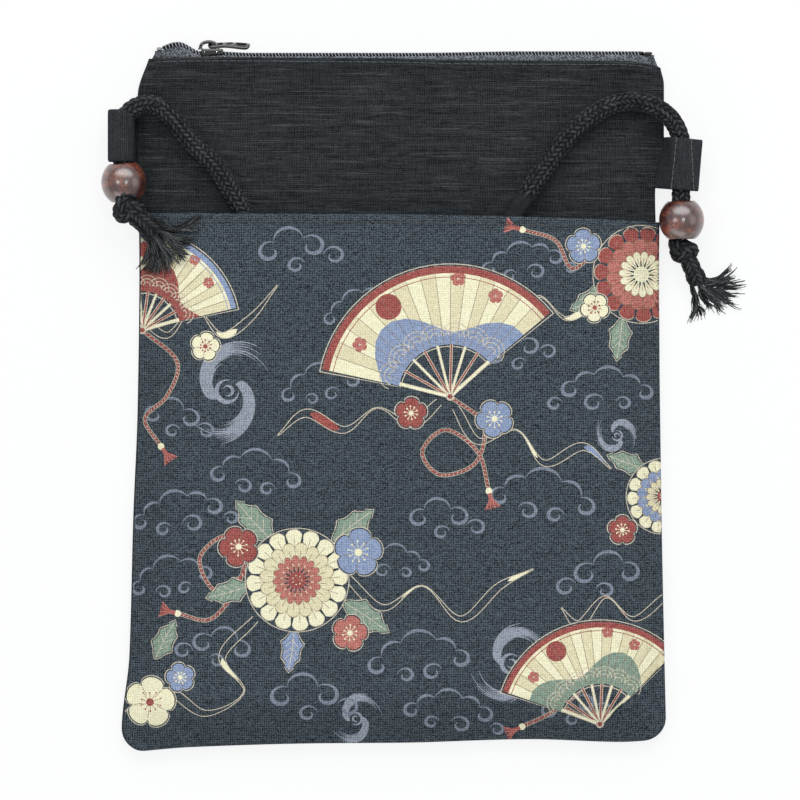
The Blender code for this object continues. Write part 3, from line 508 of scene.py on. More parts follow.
def lacquered_wood(name, seed):
    """Dark red-brown stained wood under clear lacquer: fine speckle, warm lighter patches and dark specks,
    placed at random.
    """
    look = Look(name, 0.5, Coat_Weight=1.0, Coat_Roughness=0.27, Coat_IOR=2.0)
    grain = look.noise((0.8, 3.5, 0.8), seed, 3.0)
    specks = look.noise(0.55, seed + 3)
    warm_patches = look.ranged(look.noise((7, 4, 7), seed + 8), 0.48, 0.68)
    colour = look.mix(look.ranged(grain, 0.3, 0.7), (40, 14, 12), (88, 36, 27))
    colour = look.mix(look.math("MULTIPLY", warm_patches, look.ranged(specks, 0.4, 0.7)), colour, (178, 96, 66))
    colour = look.mix(look.ranged(specks, 0.5, 0.34, 0.0, 0.5), colour, (34, 12, 10))
    return look.finish(colour, grain, (0.3, 0.7, 0.26, 0.44), grain, 0.05, 0.3)


# Mesh helpers


def new_object(name, data):
    obj = bpy.data.objects.new(name, data)
    bpy.context.scene.collection.objects.link(obj)
    return obj


def add_piece(name, mesh, mats, nodes=(), body="bag"):
    """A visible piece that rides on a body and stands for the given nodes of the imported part."""
    obj = new_object(name, mesh)
    for mat in mats:
        mesh.materials.append(mat)
    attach(obj, body)
    if nodes:
        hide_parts(*nodes)
    return obj


def plain_mesh(name, points, faces):
    mesh = bpy.data.meshes.new(name)
    mesh.from_pydata([tuple(point) for point in points], [], faces)
    mesh.shade_smooth()
    return mesh


def solid_mesh(name, points, faces, crease=None):
    """A mesh whose faces look outwards, sharp where it bends by more than the crease in degrees."""
    mesh = plain_mesh(name, points, faces)
    mesh.validate()
    bm = bmesh.new()
    bm.from_mesh(mesh)
    bmesh.ops.recalc_face_normals(bm, faces=bm.faces)
    bm.to_mesh(mesh)
    bm.free()
    if crease:
        mesh.set_sharp_from_angle(angle=math.radians(crease))
    return mesh


# Stores the tone that the materials read at each point: painted shade in grooves, rib hollows, the tab's
# tongue and the threads' roots, with real tone that differs at random.
def store_tone_and_painted_shade(mesh, tones):
    mesh.attributes.new("groove", "FLOAT", "POINT").data.foreach_set("value", tones)


def skin(rings, size, start=0, closed=False):
    """The faces that join rings of points into a tube with capped ends, or into a closed loop."""
    faces = []
    for k in range(rings if closed else rings - 1):
        a, b = start + k * size, start + (k + 1) % rings * size
        faces += [(a + s, a + (s + 1) % size, b + (s + 1) % size, b + s) for s in range(size)]
    if not closed:
        last = start + (rings - 1) * size
        faces += [tuple(range(start, start + size))[::-1], tuple(range(last, last + size))]
    return faces


def frames(points):
    """At each point of a line, two directions across it that turn as little as they can."""
    normal = None
    for before, after in zip(points[:1] + points[:-1], points[1:] + points[-1:]):
        ahead = (after - before).normalized()
        normal = ahead.orthogonal().normalized() if normal is None else normal
        normal = (normal - ahead * normal.dot(ahead)).normalized()
        yield normal, ahead.cross(normal)


class Soup:
    """Collects many small shapes into one mesh."""

    def __init__(self):
        self.points, self.faces = [], []

    def loft(self, sections):
        """Adds rings of points, skinned into one closed shape."""
        self.faces += skin(len(sections), len(sections[0]), len(self.points))
        self.points += [point for section in sections for point in section]

    def tube(self, points, radii, sides):
        """Adds a closed tube along a line, with one radius or a list of them."""
        radii = radii if isinstance(radii, list) else [radii] * len(points)
        sections = []
        for point, radius, (normal, other) in zip(points, radii, frames(points)):
            ring = []
            for angle in turns(sides):
                ring.append(point + (normal * math.cos(angle) + other * math.sin(angle)) * radius)
            sections.append(ring)
        self.loft(sections)


def stations(low, high, low_steps, high_steps, spacing, count=None):
    """Places from low to high: fine steps at both ends, even ones of a spacing or a count between them."""
    start = [low + step for step in low_steps]
    end = [high - step for step in reversed(high_steps)]
    count = count or max(1, round((end[0] - start[-1]) / spacing))
    return start + [blend(start[-1], end[0], k / count) for k in range(1, count)] + end


EDGE_STEPS = [step * MM for step in (0, 0.12, 0.35, 0.7, 1.1, 1.6, 2.2, 3, 4, 5.5, 7.5, 10, 13, 16, 19)]
FOLD_STEPS = [
    step * MM for step in (0, 0.1, 0.3, 0.6, 0.95, 1.5, 2.1, 2.5, 2.75, 3.05, 3.35, 3.8, 4.5, 5.5, 7, 9)
]


def panel_mesh(name, panel, upper, lower, spacing, rows):
    """A closed sheet between two height functions that meet all round the outline."""
    middles = None
    grid = []
    for flat in rows:
        xs = stations(*panel.limits(flat), EDGE_STEPS, EDGE_STEPS, spacing, middles)
        middles = middles or len(xs) - 2 * len(EDGE_STEPS) + 1
        grid.append([(x, panel.place(x, flat)) for x in xs])
    count, columns = len(grid), len(grid[0])
    points = [(x, y, upper(x, y)) for row in grid for x, y in row]
    below = {}
    for j, row in enumerate(grid):
        for i, (x, y) in enumerate(row):
            if j in (0, count - 1) or i in (0, columns - 1):
                below[j, i] = j * columns + i
            else:
                below[j, i] = len(points)
                points.append((x, y, lower(x, y)))
    faces = []
    for j in range(count - 1):
        for i in range(columns - 1):
            a, b = j * columns + i, (j + 1) * columns + i
            faces.append((a, a + 1, b + 1, b))
            faces.append((below[j, i], below[j + 1, i], below[j + 1, i + 1], below[j, i + 1]))
    return solid_mesh(name, points, faces)


def smooth_through(points, steps=12):
    """A centripetal Catmull-Rom curve through the points, finely sampled."""
    padded = [2 * points[0] - points[1]] + list(points) + [2 * points[-1] - points[-2]]
    fine = []
    for p0, p1, p2, p3 in zip(padded, padded[1:], padded[2:], padded[3:]):
        t1 = (p1 - p0).length ** 0.5
        t2 = t1 + (p2 - p1).length ** 0.5
        t3 = t2 + (p3 - p2).length ** 0.5
        for k in range(steps):
            t = blend(t1, t2, k / steps)
            a1 = p0.lerp(p1, t / t1)
            a2 = p1.lerp(p2, (t - t1) / (t2 - t1))
            a3 = p2.lerp(p3, (t - t2) / (t3 - t2))
            b1 = a1.lerp(a2, t / t2)
            b2 = a2.lerp(a3, (t - t1) / (t3 - t1))
            fine.append(b1.lerp(b2, (t - t1) / (t2 - t1)))
    fine.append(points[-1])
    return fine


def lengths_along(line):
    far = [0.0]
    for a, b in zip(line, line[1:]):
        far.append(far[-1] + (b - a).length)
    return far


def resample(line, places):
    """The points of a fine line at rising distances along it."""
    far = lengths_along(line)
    out = []
    k = 0
    for place in places:
        while k < len(line) - 2 and far[k + 1] < place:
            k += 1
        out.append(line[k].lerp(line[k + 1], clamp((place - far[k]) / (far[k + 1] - far[k]))))
    return out


# Camera first, then the strap

CAMERA_HEIGHT = 3.0
SENSOR = 36
PICTURE_WIDTH = PICTURE * PIXEL
CLOTH_LEVEL = 12 * MM


def make_camera():
    data = bpy.data.cameras.new("camera")
    data.sensor_width = SENSOR
    data.lens = SENSOR * (CAMERA_HEIGHT - CLOTH_LEVEL) / PICTURE_WIDTH
    data.clip_end = 20
    camera = new_object("camera", data)
    camera.location = (0, (PIXEL_Y - PICTURE / 2) * PIXEL, CAMERA_HEIGHT)
    bpy.context.scene.camera = camera


# Each braid's columns of strands, points round, and pitch
STRAP_BRAID = (10, 72, 2.1 * MM)
KNOT_BRAID = (8, 44, 1.9 * MM)
STUB_BRAID = (8, 48, 2.0 * MM)
BRAID_DEPTH = 0.72 * MM
BRAID_SHOWN = 112 * MM
BRAID_LEAN = math.radians(42)
BRAID_FINE = 0.3 * MM
BRAID_COARSE = 2.4 * MM
PATH_POINTS = 400


def braid_height(angle, along, columns, radius, pitch):
    """How high a plaited strand stands here, from 0 to 1, and that strand's own tone, from 0 to 1."""
    turn = angle / (2 * math.pi) * columns
    wide = 2 * math.pi * radius / columns
    reach, thick = wide * 0.84, pitch * 0.34
    best, strand = 0.0, (0, 0)
    first = math.floor(turn)
    for column in (first - 1, first, first + 1):
        stray = noise.noise(Vector((column % columns * 2.3, along / pitch * 0.35, radius / MM + 5)))
        lean = (BRAID_LEAN if column % 2 else -BRAID_LEAN) * (1 + 0.35 * stray)
        x = (turn - column - 0.5) * wide
        if abs(x) > wide:
            continue
        phase = along / pitch + (0.5 if column % 2 else 0.0) + 0.35 * stray
        for row in (math.floor(phase), math.floor(phase) + 1):
            y = (phase - row) * pitch
            u = x * math.sin(lean) + y * math.cos(lean)
            v = x * math.cos(lean) - y * math.sin(lean)
            gone = (u / reach) ** 2 + (v / thick) ** 2
            height = max(0.0, 1 - gone) ** 0.5 * (1 - 0.2 * abs(u) / reach)
            if height > best:
                best, strand = height, (column % columns, row)
    tone = 0.5 + 0.9 * noise.noise(Vector((strand[0] * 1.37, strand[1] * 0.73, radius / MM)))
    return best, clamp(tone)


def braided_tube(name, line, places, radius_at, braid, seed, shown=lambda place: True):
    """A closed tube with real strand relief where it is shown, which stores painted shade for its grooves
    along with each strand's own tone.
    """
    columns, sides, pitch = braid
    centres = resample(line, places)
    points, tones = [], []
    for centre, place, (normal, other) in zip(centres, places, frames(centres)):
        radius = radius_at(place)
        depth = min(BRAID_DEPTH, radius * 0.22) * (1 if shown(place) else 0.25)
        for angle in turns(sides):
            height, tone = braid_height(angle, place, columns, radius, pitch) if shown(place) else (0.6, 0.5)
            loose = 0.16 * soft_noise(angle * 4 * MM, place, 3 * MM, seed)
            out = radius - depth * (1 - height) + depth * (loose + 0.12 * (tone - 0.5))
            points.append(centre + (normal * math.cos(angle) + other * math.sin(angle)) * out)
            # Painted shade: a point low between strands gets a darker tone; each strand's own tone differs at
            # random.
            tones.append(clamp(height ** 2.4 * blend(0.4, 1.35, tone) + loose))
    mesh = plain_mesh(name, points, skin(len(centres), sides))
    store_tone_and_painted_shade(mesh, tones)
    return mesh


def even_places(line):
    """Places along a line at the braid's fine spacing, and the line's length."""
    total = lengths_along(line)[-1]
    count = math.ceil(total / BRAID_FINE)
    return [total * k / count for k in range(count + 1)], total


def make_strap(cotton):
    """The braid along its whole route, with its strands modelled where it shows."""
    points = []
    for route, edge in ((ROUTE_LEFT, -HALF_WIDTH), (ROUTE_MIDDLE, 0.0), (ROUTE_RIGHT, HALF_WIDTH)):
        for across, down, up in route:
            points.append(Vector((edge + across * MM, HALF_HEIGHT + down * MM, STRAP_LEVEL + up * MM)))
    line = smooth_through(points)
    total = lengths_along(line)[-1]
    fine = math.ceil(BRAID_SHOWN / BRAID_FINE)
    coarse = math.ceil((total - 2 * BRAID_SHOWN) / BRAID_COARSE)
    places = [BRAID_SHOWN * k / fine for k in range(fine)]
    places += [blend(BRAID_SHOWN, total - BRAID_SHOWN, k / coarse) for k in range(coarse)]
    places += [total - BRAID_SHOWN + BRAID_SHOWN * k / fine for k in range(fine + 1)]
    mesh = braided_tube(
        "strap_braid", line, places, lambda place: STRAP_DIAMETER / 2, STRAP_BRAID, 5.5,
        lambda place: min(place, total - place) <= BRAID_SHOWN,
    )
    return add_piece("strap_braid", mesh, [cotton], ["strap"]), line, total


# Beads, knots and tassels

BEAD_RADIUS = 8.15 * MM
BEAD_HALF = 6.85 * MM
BEAD_BORE = 3.86 * MM
BEAD_CHAMFER = 1 * MM
BEAD_START = math.acos((BEAD_BORE + BEAD_CHAMFER) / BEAD_RADIUS)
BEAD_ROOM = 0.1 * MM
BEAD_ROWS = 26
BEAD_TURNS = 72
KNOT_STRAND = 2.75 * MM
KNOT_POINTS = 28
THREAD_STEPS = 20
THREAD_SIDES = 5
THREAD_NECK = 0.15

# Each tip of a bundle of threads: its pixel in the photograph, and how far the threads spread there in pixels
LEFT_TIPS = (
    (136, 267, 1.6), (142, 272, 2.0), (149, 268, 2.8), (155, 276, 2.4), (163, 274, 2.4), (171, 275, 2.6),
    (178, 266, 3.4), (184, 260, 3.0), (190, 254, 3.4), (194, 245, 3.2), (197, 237, 2.8), (200, 227, 2.4),
    (203, 214, 1.4), (194, 218, 2.0), (166, 262, 3.0), (184, 240, 3.2),
)
RIGHT_TIPS = (
    (735, 262, 1.4), (730, 268, 2.2), (748, 284, 2.0), (741, 286, 3.0), (744, 298, 2.6), (742, 310, 2.2),
    (733, 306, 3.4), (725, 312, 3.0), (716, 310, 3.2), (706, 321, 2.2), (698, 315, 3.0), (690, 323, 1.8),
    (729, 290, 3.4), (710, 302, 3.0),
)
LEFT_STUB_PIXEL = (158, 236)
RIGHT_STUB_PIXEL = (700, 284)

# Both ends of the strap. The bead: its place, axis and seed. The knot: its place, turn, tilt, size and seed.
# The stub: its shift from the knot, end, width and seed. The threads: their root's width, number and tips.
ENDS = {
    "left": dict(
        bead=(Vector((-0.09947, 0.07916, 0.01083)), Vector((-0.08667, 0.99536, 0.04179)), 3.0),
        knot=(Vector((-0.0980, 0.0698, 0.0132)), 200, 30, (1.3 * MM, 1.16 * MM), 2.5),
        stub=(Vector((1.6, -1.4, -0.6)) * MM, Vector((*on_bag(*LEFT_STUB_PIXEL), 13.4 * MM)), 8.0 * MM, 1.5),
        threads=(6.4 * MM, 288, LEFT_TIPS),
    ),
    "right": dict(
        bead=(Vector((0.10151, 0.0656, 0.008)), Vector((0.0294, -0.99946, -0.0147)), 9.0),
        knot=(Vector((0.1018, 0.0552, 0.0058)), -30, 10, (1.25 * MM, 0.95 * MM), 6.5),
        stub=(Vector((1.6, -2.4, -0.6)) * MM, Vector((*on_bag(*RIGHT_STUB_PIXEL), 3.6 * MM)), 6.8 * MM, 4.5),
        threads=(6.2 * MM, 238, RIGHT_TIPS),
    ),
}


def make_bead(side):
    """A turned bead: a flattened ball with a softly broken edge at each mouth of its hole."""
    name = "bead_" + side
    origin, axis, seed = ENDS[side]["bead"]
    lip = [
        (BEAD_BORE, BEAD_HALF * 0.6), (BEAD_BORE, BEAD_HALF - BEAD_CHAMFER * 0.9),
        (BEAD_BORE + BEAD_CHAMFER * 0.35, BEAD_HALF - BEAD_CHAMFER * 0.25),
    ]
    profile = [(radius, -height) for radius, height in lip]
    for k in range(BEAD_ROWS + 1):
        angle = blend(-BEAD_START, BEAD_START, k / BEAD_ROWS)
        profile.append((BEAD_RADIUS * math.cos(angle), BEAD_HALF * math.sin(angle) / math.sin(BEAD_START)))
    profile += lip[::-1]
    matrix = Matrix.Translation(origin) @ axis.to_track_quat("Z", "Y").to_matrix().to_4x4()
    points = []
    for angle in turns(BEAD_TURNS):
        for radius, height in profile:
            local = Vector((radius * math.cos(angle), radius * math.sin(angle), height))
            dent = 1 + 0.004 * noise.noise(local / (4 * MM) + Vector((seed, 0, 0)))
            points.append(matrix @ Vector((local.x * dent, local.y * dent, local.z)))
    mesh = solid_mesh(name + "_wood", points, skin(BEAD_TURNS, len(profile), closed=True))
    return add_piece(
        name + "_wood", mesh, [lacquered_wood(name + "_wood_lacquer", seed)], [name], name
    )


def clear_of_bead(point, origin, axis):
    """A point that lies inside a bead, moved out to the bead's nearer surface."""
    way = axis.normalized()
    height = (point - origin).dot(way)
    across = point - origin - way * height
    if abs(height) > BEAD_HALF + BEAD_ROOM:
        return point
    share = min(1.0, abs(height) / BEAD_HALF)
    reach = BEAD_RADIUS * math.cos(math.asin(share * math.sin(BEAD_START))) + BEAD_ROOM
    if across.length >= reach:
        return point
    along = BEAD_HALF + BEAD_ROOM - abs(height)
    if along < reach - across.length:
        return point + way * along * (1 if height > 0 else -1)
    return point + across.normalized() * (reach - across.length)


def make_knot(side, cotton):
    """A hard pulled overhand knot of the braid, drawn as the braid's own path through it."""
    middle, turn, tilt, size, seed = ENDS[side]["knot"]
    loop = [Vector((
        (math.sin(t) + 1.6 * math.sin(2 * t)) * 1.16 * size[0],
        (math.cos(t) - 1.6 * math.cos(2 * t)) * 1.04 * size[1],
        -math.sin(3 * t) * 1.6 * MM,
    )) for t in turns(KNOT_POINTS)]
    tilted = Matrix.Rotation(math.radians(tilt), 4, "X") @ Matrix.Rotation(math.radians(turn), 4, "Z")
    matrix = Matrix.Translation(middle) @ tilted
    line = smooth_through([matrix @ point for point in loop + loop[:3]], 8)
    mesh = braided_tube(
        f"knot_{side}_braid", line, even_places(line)[0], lambda place: KNOT_STRAND, KNOT_BRAID, seed
    )
    for vertex in mesh.vertices:
        vertex.co = clear_of_bead(vertex.co, *ENDS[side]["bead"][:2])
    return add_piece(mesh.name, mesh, [cotton], ["knot_" + side])


def stub_ends(side):
    shift, end, _, _ = ENDS[side]["stub"]
    return ENDS[side]["knot"][0] + shift, end


def make_stub(side, cotton):
    """The last of the braid between the knot and the frayed threads, loosening and swelling towards them."""
    start, end = stub_ends(side)
    width, seed = ENDS[side]["stub"][2:]
    line = smooth_through([start, start.lerp(end, 0.35), start.lerp(end, 0.7), end], 8)
    places, total = even_places(line)

    def radius(place):
        share = place / total
        lump = 1 + 0.12 * soft_noise(place, 0, 2.6 * MM, seed)
        return width / 2 * lump * blend(0.88, 1.18, share) * (1 - 0.5 * ease((share - 0.82) / 0.18))

    mesh = braided_tube(f"tassel_{side}_stub", line, places, radius, STUB_BRAID, seed)
    return add_piece(mesh.name, mesh, [cotton])


def ground(side, x, y):
    """What a tassel lies on: the pocket and the bag's edge on the left, the paper on the right."""
    if side == "right":
        return 0.0
    edge, _, top = POCKET.distances(x, y)
    return pocket_top(x, y) if edge > 0 and top > 0 else 4 * MM


def make_threads(side, yarn, rng):
    """Frayed yarn: crimped bundles that leave the braid's stub here and there, and fray at their tips."""
    width, count, tips = ENDS[side]["threads"]
    knot_end, end = stub_ends(side)
    start = end.lerp(knot_end, 0.45)
    out = (end - start).normalized()
    beside = Vector((-out.y, out.x, 0)).normalized()
    flat_tips = [Vector((*on_bag(x, y), 0)) for x, y, _ in tips]
    order = sorted(range(len(tips)), key=lambda k: (flat_tips[k] - end).dot(beside))
    bundles = []
    for rank, chosen in enumerate(order):
        across = (rank + 0.5) / len(tips) - 0.5
        across = max(-0.5, min(0.5, across + rng.gauss(0, 0.16)))
        leave = rng.uniform(0.5, 1.0)
        bend, wave, crimp = rng.gauss(0, 1.1) * MM, rng.uniform(0, 6.28), rng.uniform(0.15, 0.45) * MM
        lift, beat, tone = rng.uniform(0, 1), rng.uniform(8, 15), rng.uniform(0.35, 1.0)
        bundles.append((chosen, across, leave, bend, wave, crimp, lift, beat, tone))
    soup = Soup()
    tones = []
    for number in range(count):
        chosen, across, leave, bend, wave, crimp, lift, beat, tone = bundles[number % len(bundles)]
        rise = math.sqrt(max(0.0, 1 - (2 * across) ** 2))
        root = start + beside * across * width * 0.8 + Vector((0, 0, (lift - 0.4) * width * 0.7 * rise))
        neck = start.lerp(end, leave) + beside * across * width * 1.1
        neck.z += (lift - 0.4) * width * 0.75 * rise
        next_tip = order[min(len(order) - 1, max(0, order.index(chosen) + rng.choice((-1, 1))))]
        tip = flat_tips[chosen].lerp(flat_tips[next_tip], 0.5 * rng.random() ** 1.5)
        heading = out.lerp((tip - neck).normalized(), 0.5)
        middle = neck + heading * (tip - neck).length * 0.5 + beside * bend
        angle = rng.uniform(0, 6.28)
        stray = abs(rng.gauss(0, 1.25)) * tips[chosen][2] * PIXEL
        curl = rng.uniform(-2.5, 2.5)
        own = rng.uniform(0.05, 0.22) * MM
        shorter = rng.uniform(0.8, 1.0)
        points = []
        for k in range(THREAD_STEPS + 1):
            t = k / THREAD_STEPS
            fray = max(0.0, (t - THREAD_NECK) / (1 - THREAD_NECK) * shorter)
            point = neck * (1 - fray) ** 2 + middle * 2 * fray * (1 - fray) + tip * fray * fray
            if t < THREAD_NECK:
                point = root.lerp(neck, t / THREAD_NECK)
            turn = angle + curl * fray
            away = 0.22 * MM + stray * fray ** 1.3
            sway = math.sin(wave + fray * beat) * crimp * min(1, fray * 3)
            point += beside * (math.cos(turn) * away + sway)
            point += out * math.sin(turn) * away * 0.6
            point += beside * math.sin(angle * 3 + fray * 24) * own * fray
            floor = ground(side, point.x, point.y) + 0.25 * MM
            low = floor + (lift * 2.6 + 0.5 * abs(math.sin(turn))) * MM * (1 - 0.5 * fray)
            point.z = blend(neck.z, low, ease(fray / 0.6)) if fray else point.z
            point.z = max(point.z + math.cos(wave + fray * beat) * crimp * 0.8 * fray, floor)
            points.append(point)
        thick = rng.uniform(0.14, 0.24) * MM
        soup.tube(points, [thick] * (THREAD_STEPS - 1) + [thick * 0.6] * 2, THREAD_SIDES)
        shade = clamp(tone * rng.uniform(0.1, 1.2) ** 1.6)
        # Painted shade: each thread darkens towards its root, where the threads bunch into the stub; its own
        # tone differs at random.
        for k in range(THREAD_STEPS + 1):
            tones += [shade * blend(0.55, 1.0, ease(k / THREAD_STEPS * 2))] * THREAD_SIDES
    mesh = plain_mesh(f"tassel_{side}_threads", soup.points, soup.faces)
    store_tone_and_painted_shade(mesh, tones)
    return add_piece(mesh.name, mesh, [yarn], ["tassel_" + side])


def make_ends(cotton, yarn):
    """Knots, stubs and tassels at both ends of the strap."""
    rng = random.Random(41)
    made = [make_knot(side, cotton) for side in ENDS]
    made += [make_stub(side, cotton) for side in ENDS]
    return made + [make_threads(side, yarn, rng) for side in ENDS]


# Panels and stitches


def make_panels(black):
    rows = stations(-HALF_HEIGHT, HALF_HEIGHT, EDGE_STEPS, FOLD_STEPS, 1.9 * MM)
    for name, node, upper, lower, spacing in (
        ("front_cloth", "front_panel", front_top, front_under, 1.5 * MM),
        ("back_cloth", "back_panel", back_top, back_under, 2.2 * MM),
    ):
        mesh = panel_mesh(name, BODY, upper, lower, spacing, rows)
        cloth = add_piece(name, mesh, [black], [node])


def make_stitches(name, panel, offset, surface, thread, first, last, rise):
    """A row of lockstitches as short sunk threads along a turned edge."""
    soup = Soup()
    for k in range(int((last - first) / STITCH)):
        points = []
        for share in (-0.5, -0.38, -0.2, 0, 0.2, 0.38, 0.5):
            x = first + (k + 0.5) * STITCH + share * STITCH * 0.86
            y = panel.place(x, panel.top - offset)
            sink = -0.28 * MM if abs(share) > 0.45 else rise * (1 - (2 * share) ** 4)
            points.append(Vector((x, y, surface(x, y) + sink)))
        soup.tube(points, 0.22 * MM, 6)
    add_piece(name, plain_mesh(name, soup.points, soup.faces), [thread])


# The print: flat shapes of colour, laid into the pocket's own mesh

SMALLEST_AREA = 1e-4
CLOUD_SQUASH = 0.84

# Each printed colour's darker and lighter threads
PRINT_COLOURS = {
    "ground": ((14, 20, 27), (88, 98, 106)),
    "cream": ((216, 212, 176), (247, 244, 214)),
    "cream_soft": ((200, 192, 156), (234, 228, 194)),
    "red": ((122, 58, 56), (176, 104, 98)),
    "red_soft": ((150, 84, 78), (204, 138, 128)),
    "blue": ((108, 126, 158), (158, 172, 200)),
    "sage": ((104, 126, 112), (154, 172, 156)),
    "mist": ((96, 104, 118), (142, 150, 164)),
    "whirl": ((112, 119, 132), (164, 171, 184)),
    "line": ((168, 160, 142), (222, 214, 194)),
    "ink": ((112, 96, 80), (150, 132, 112)),
}

# Each cloud's humps from left to right, as centre and radius, and its small curls with the way they turn
CLOUDS = (
    (((-9.6, -2.2, 2.6), (-5.4, 0.4, 3.5), (0.8, 1.8, 4.9), (7.2, 0.2, 3.7), (11.8, -2.6, 2.6)),
     ((-2.6, -5.2, 2.3, 1), (5.0, -5.6, 2.0, -1))),
    (((-7.2, -1.2, 2.9), (-2.2, 1.2, 3.9), (3.6, -0.8, 3.1)), ((9.2, -4.0, 2.5, 1), (-0.6, -5.6, 2.1, -1))),
    (((-12.2, -1.8, 2.3), (-8.0, 0.2, 3.1), (-2.2, 1.6, 4.2), (3.7, 1.0, 3.1), (8.0, -1.0, 2.5)),
     ((-6.2, -4.8, 1.9, -1), (1.6, -4.6, 2.5, 1), (12.4, -5.0, 1.9, 1))),
)


class Print:
    """Flat shapes in millimetres. A later shape covers an earlier one."""

    def __init__(self):
        self.shapes = []

    def blob(self, points, colour):
        area = sum(a[0] * b[1] - b[0] * a[1] for a, b in zip(points, points[1:] + points[:1]))
        if abs(area) > SMALLEST_AREA:
            self.shapes.append((points if area > 0 else points[::-1], colour))

    def stroke(self, points, width, colour):
        """A line whose width is a number or a function of the share along it."""
        sides = []
        for k, ((x, y), (nx, ny)) in enumerate(zip(points, normals(points))):
            half = (width(k / (len(points) - 1)) if callable(width) else width) / 2
            sides.append(((x + nx * half, y + ny * half), (x - nx * half, y - ny * half)))
        for (a, b), (c, d) in zip(sides, sides[1:]):
            self.blob([b, d, c, a], colour)


def normals(points):
    """The unit normal of a flat line at each of its points."""
    out = []
    for (ax, ay), (bx, by) in zip(points[:1] + points[:-1], points[1:] + points[-1:]):
        size = math.hypot(bx - ax, by - ay) or 1.0
        out.append((-(by - ay) / size, (bx - ax) / size))
    return out


def placed(x, y, turn, scale=1.0, flip=1):
    """A function that takes points in a motif's own coordinates to the pocket's, in millimetres."""
    c, s = math.cos(math.radians(turn)), math.sin(math.radians(turn))

    def move(points):
        scaled = [(u * scale * flip, v * scale) for u, v in points]
        return [(x + c * u - s * v, y + s * u + c * v) for u, v in scaled]

    return move


def ray(angle, *radii, x=0.0, y=0.0):
    """Points at distances from a centre, all in the direction of an angle in radians."""
    return [(x + radius * math.cos(angle), y + radius * math.sin(angle)) for radius in radii]


def arc(x, y, radius, start, end, steps):
    """Points of an arc between two angles in degrees."""
    return [ray(math.radians(blend(start, end, k / steps)), radius, x=x, y=y)[0] for k in range(steps + 1)]


def curve_2d(points, steps):
    return [(point.x, point.y) for point in smooth_through([Vector((x, y, 0)) for x, y in points], steps)]


def swell(thin, thick):
    return lambda share: blend(thin, thick, math.sin(math.pi * share) ** 1.3)


def meeting(one, two):
    """The upper point where two circles cross, as its angle in degrees seen from each centre."""
    (x0, y0, r0), (x1, y1, r1) = one, two
    gap = math.hypot(x1 - x0, y1 - y0)
    along = (r0 * r0 - r1 * r1 + gap * gap) / (2 * gap)
    up = math.sqrt(max(0.0, r0 * r0 - along * along))
    ux, uy = (x1 - x0) / gap, (y1 - y0) / gap
    x, y = x0 + ux * along - uy * up, y0 + uy * along + ux * up
    return math.degrees(math.atan2(y - y0, x - x0)), math.degrees(math.atan2(y - y1, x - x1))


def hump(circle, start, end, curl_in, curl_out):
    """A clockwise arc that may wind in to a curl at either end; angles and curls are in degrees."""
    cx, cy, radius = circle
    whole = start - end + curl_in + curl_out
    count = max(8, int(whole / 11))
    points = []
    for k in range(count + 1):
        gone = whole * k / count
        angle = math.radians(start + curl_in - gone)
        shrink = 1.0
        for curl, into in ((curl_in, gone), (curl_out, whole - gone)):
            if into < curl:
                shrink = blend(0.3, 1.0, ease(into / curl) ** 0.8)
        reach = radius * shrink
        points.append((cx + reach * math.cos(angle), cy + reach * math.sin(angle) * CLOUD_SQUASH))
    return points


def cloud(art, x, y, kind, scale, turn, flip):
    """A line cloud: humps that meet in cusps, curled in at both ends, over a few small curls."""
    move = placed(x, y, turn, scale, flip)
    humps, curls = CLOUDS[kind]
    thick = 1.05 * scale
    crossings = [meeting(a, b) for a, b in zip(humps, humps[1:])]
    last = len(humps) - 1
    for k, circle in enumerate(humps):
        start = crossings[k - 1][1] if k else 200
        end = crossings[k][0] if k < last else -20
        if start < end:
            start += 360
        points = hump(circle, start, end, 0 if k else 190, 0 if k < last else 190)
        art.stroke(move(points), swell(0.22, thick * (1.0 if k in (0, last) else 0.8)), "mist")
    for cx, cy, radius, way in curls:
        points = [(cx + (u - cx) * way, v) for u, v in hump((cx, cy, radius), 165, -10, 0, 200)]
        art.stroke(move(points), swell(0.2, thick * 0.85), "mist")


def swirl(art, x, y, size, turn, rng):
    """A dry brush's whirl: bristle lines on two wide arms that meet in the middle and fray at the tails."""
    bristles, steps, wide = 13, 20, size * 0.085

    def thin_out(share):
        return blend(wide, 0.08, share ** 1.6) * min(1, 0.3 + share * 6)

    for arm in (0, 1):
        for k in range(bristles):
            offset = (k - (bristles - 1) / 2) / ((bristles - 1) / 2)
            inner = 1 - abs(offset) ** 1.5
            begin = 4 + 30 * rng.random() * (1 - inner)
            finish = blend(120, 205, inner) - rng.uniform(0, 52)
            points = []
            for j in range(steps + 1):
                t = blend(begin, finish, j / steps)
                share = t / 205
                radius = size * (0.2 + 0.8 * share ** 0.85) * (1 + offset * (0.16 + 0.2 * share))
                angle = math.radians(turn + arm * 180 - t)
                points.append((x + radius * math.cos(angle) * 0.86, y + radius * math.sin(angle)))
            art.stroke(points, thin_out, "whirl")
    art.stroke(arc(x, y, size * 0.2, 40 + turn, 320 + turn, 16), swell(0.2, size * 0.09), "whirl")
    art.stroke(arc(x, y, size * 0.09, 200 + turn, 470 + turn, 12), swell(0.2, size * 0.06), "whirl")


def grown(outline, centre, by):
    """An outline moved out from its centre."""
    cx, cy = centre
    out = []
    for x, y in outline:
        size = math.hypot(x - cx, y - cy) or 1.0
        out.append((x + (x - cx) / size * by, y + (y - cy) / size * by))
    return out


def halo(art, outline, centre, gap):
    """A thin pale line round a shape, with the ground showing between the two."""
    art.blob(grown(outline, centre, gap + 0.32), "line")
    art.blob(grown(outline, centre, gap), "ground")


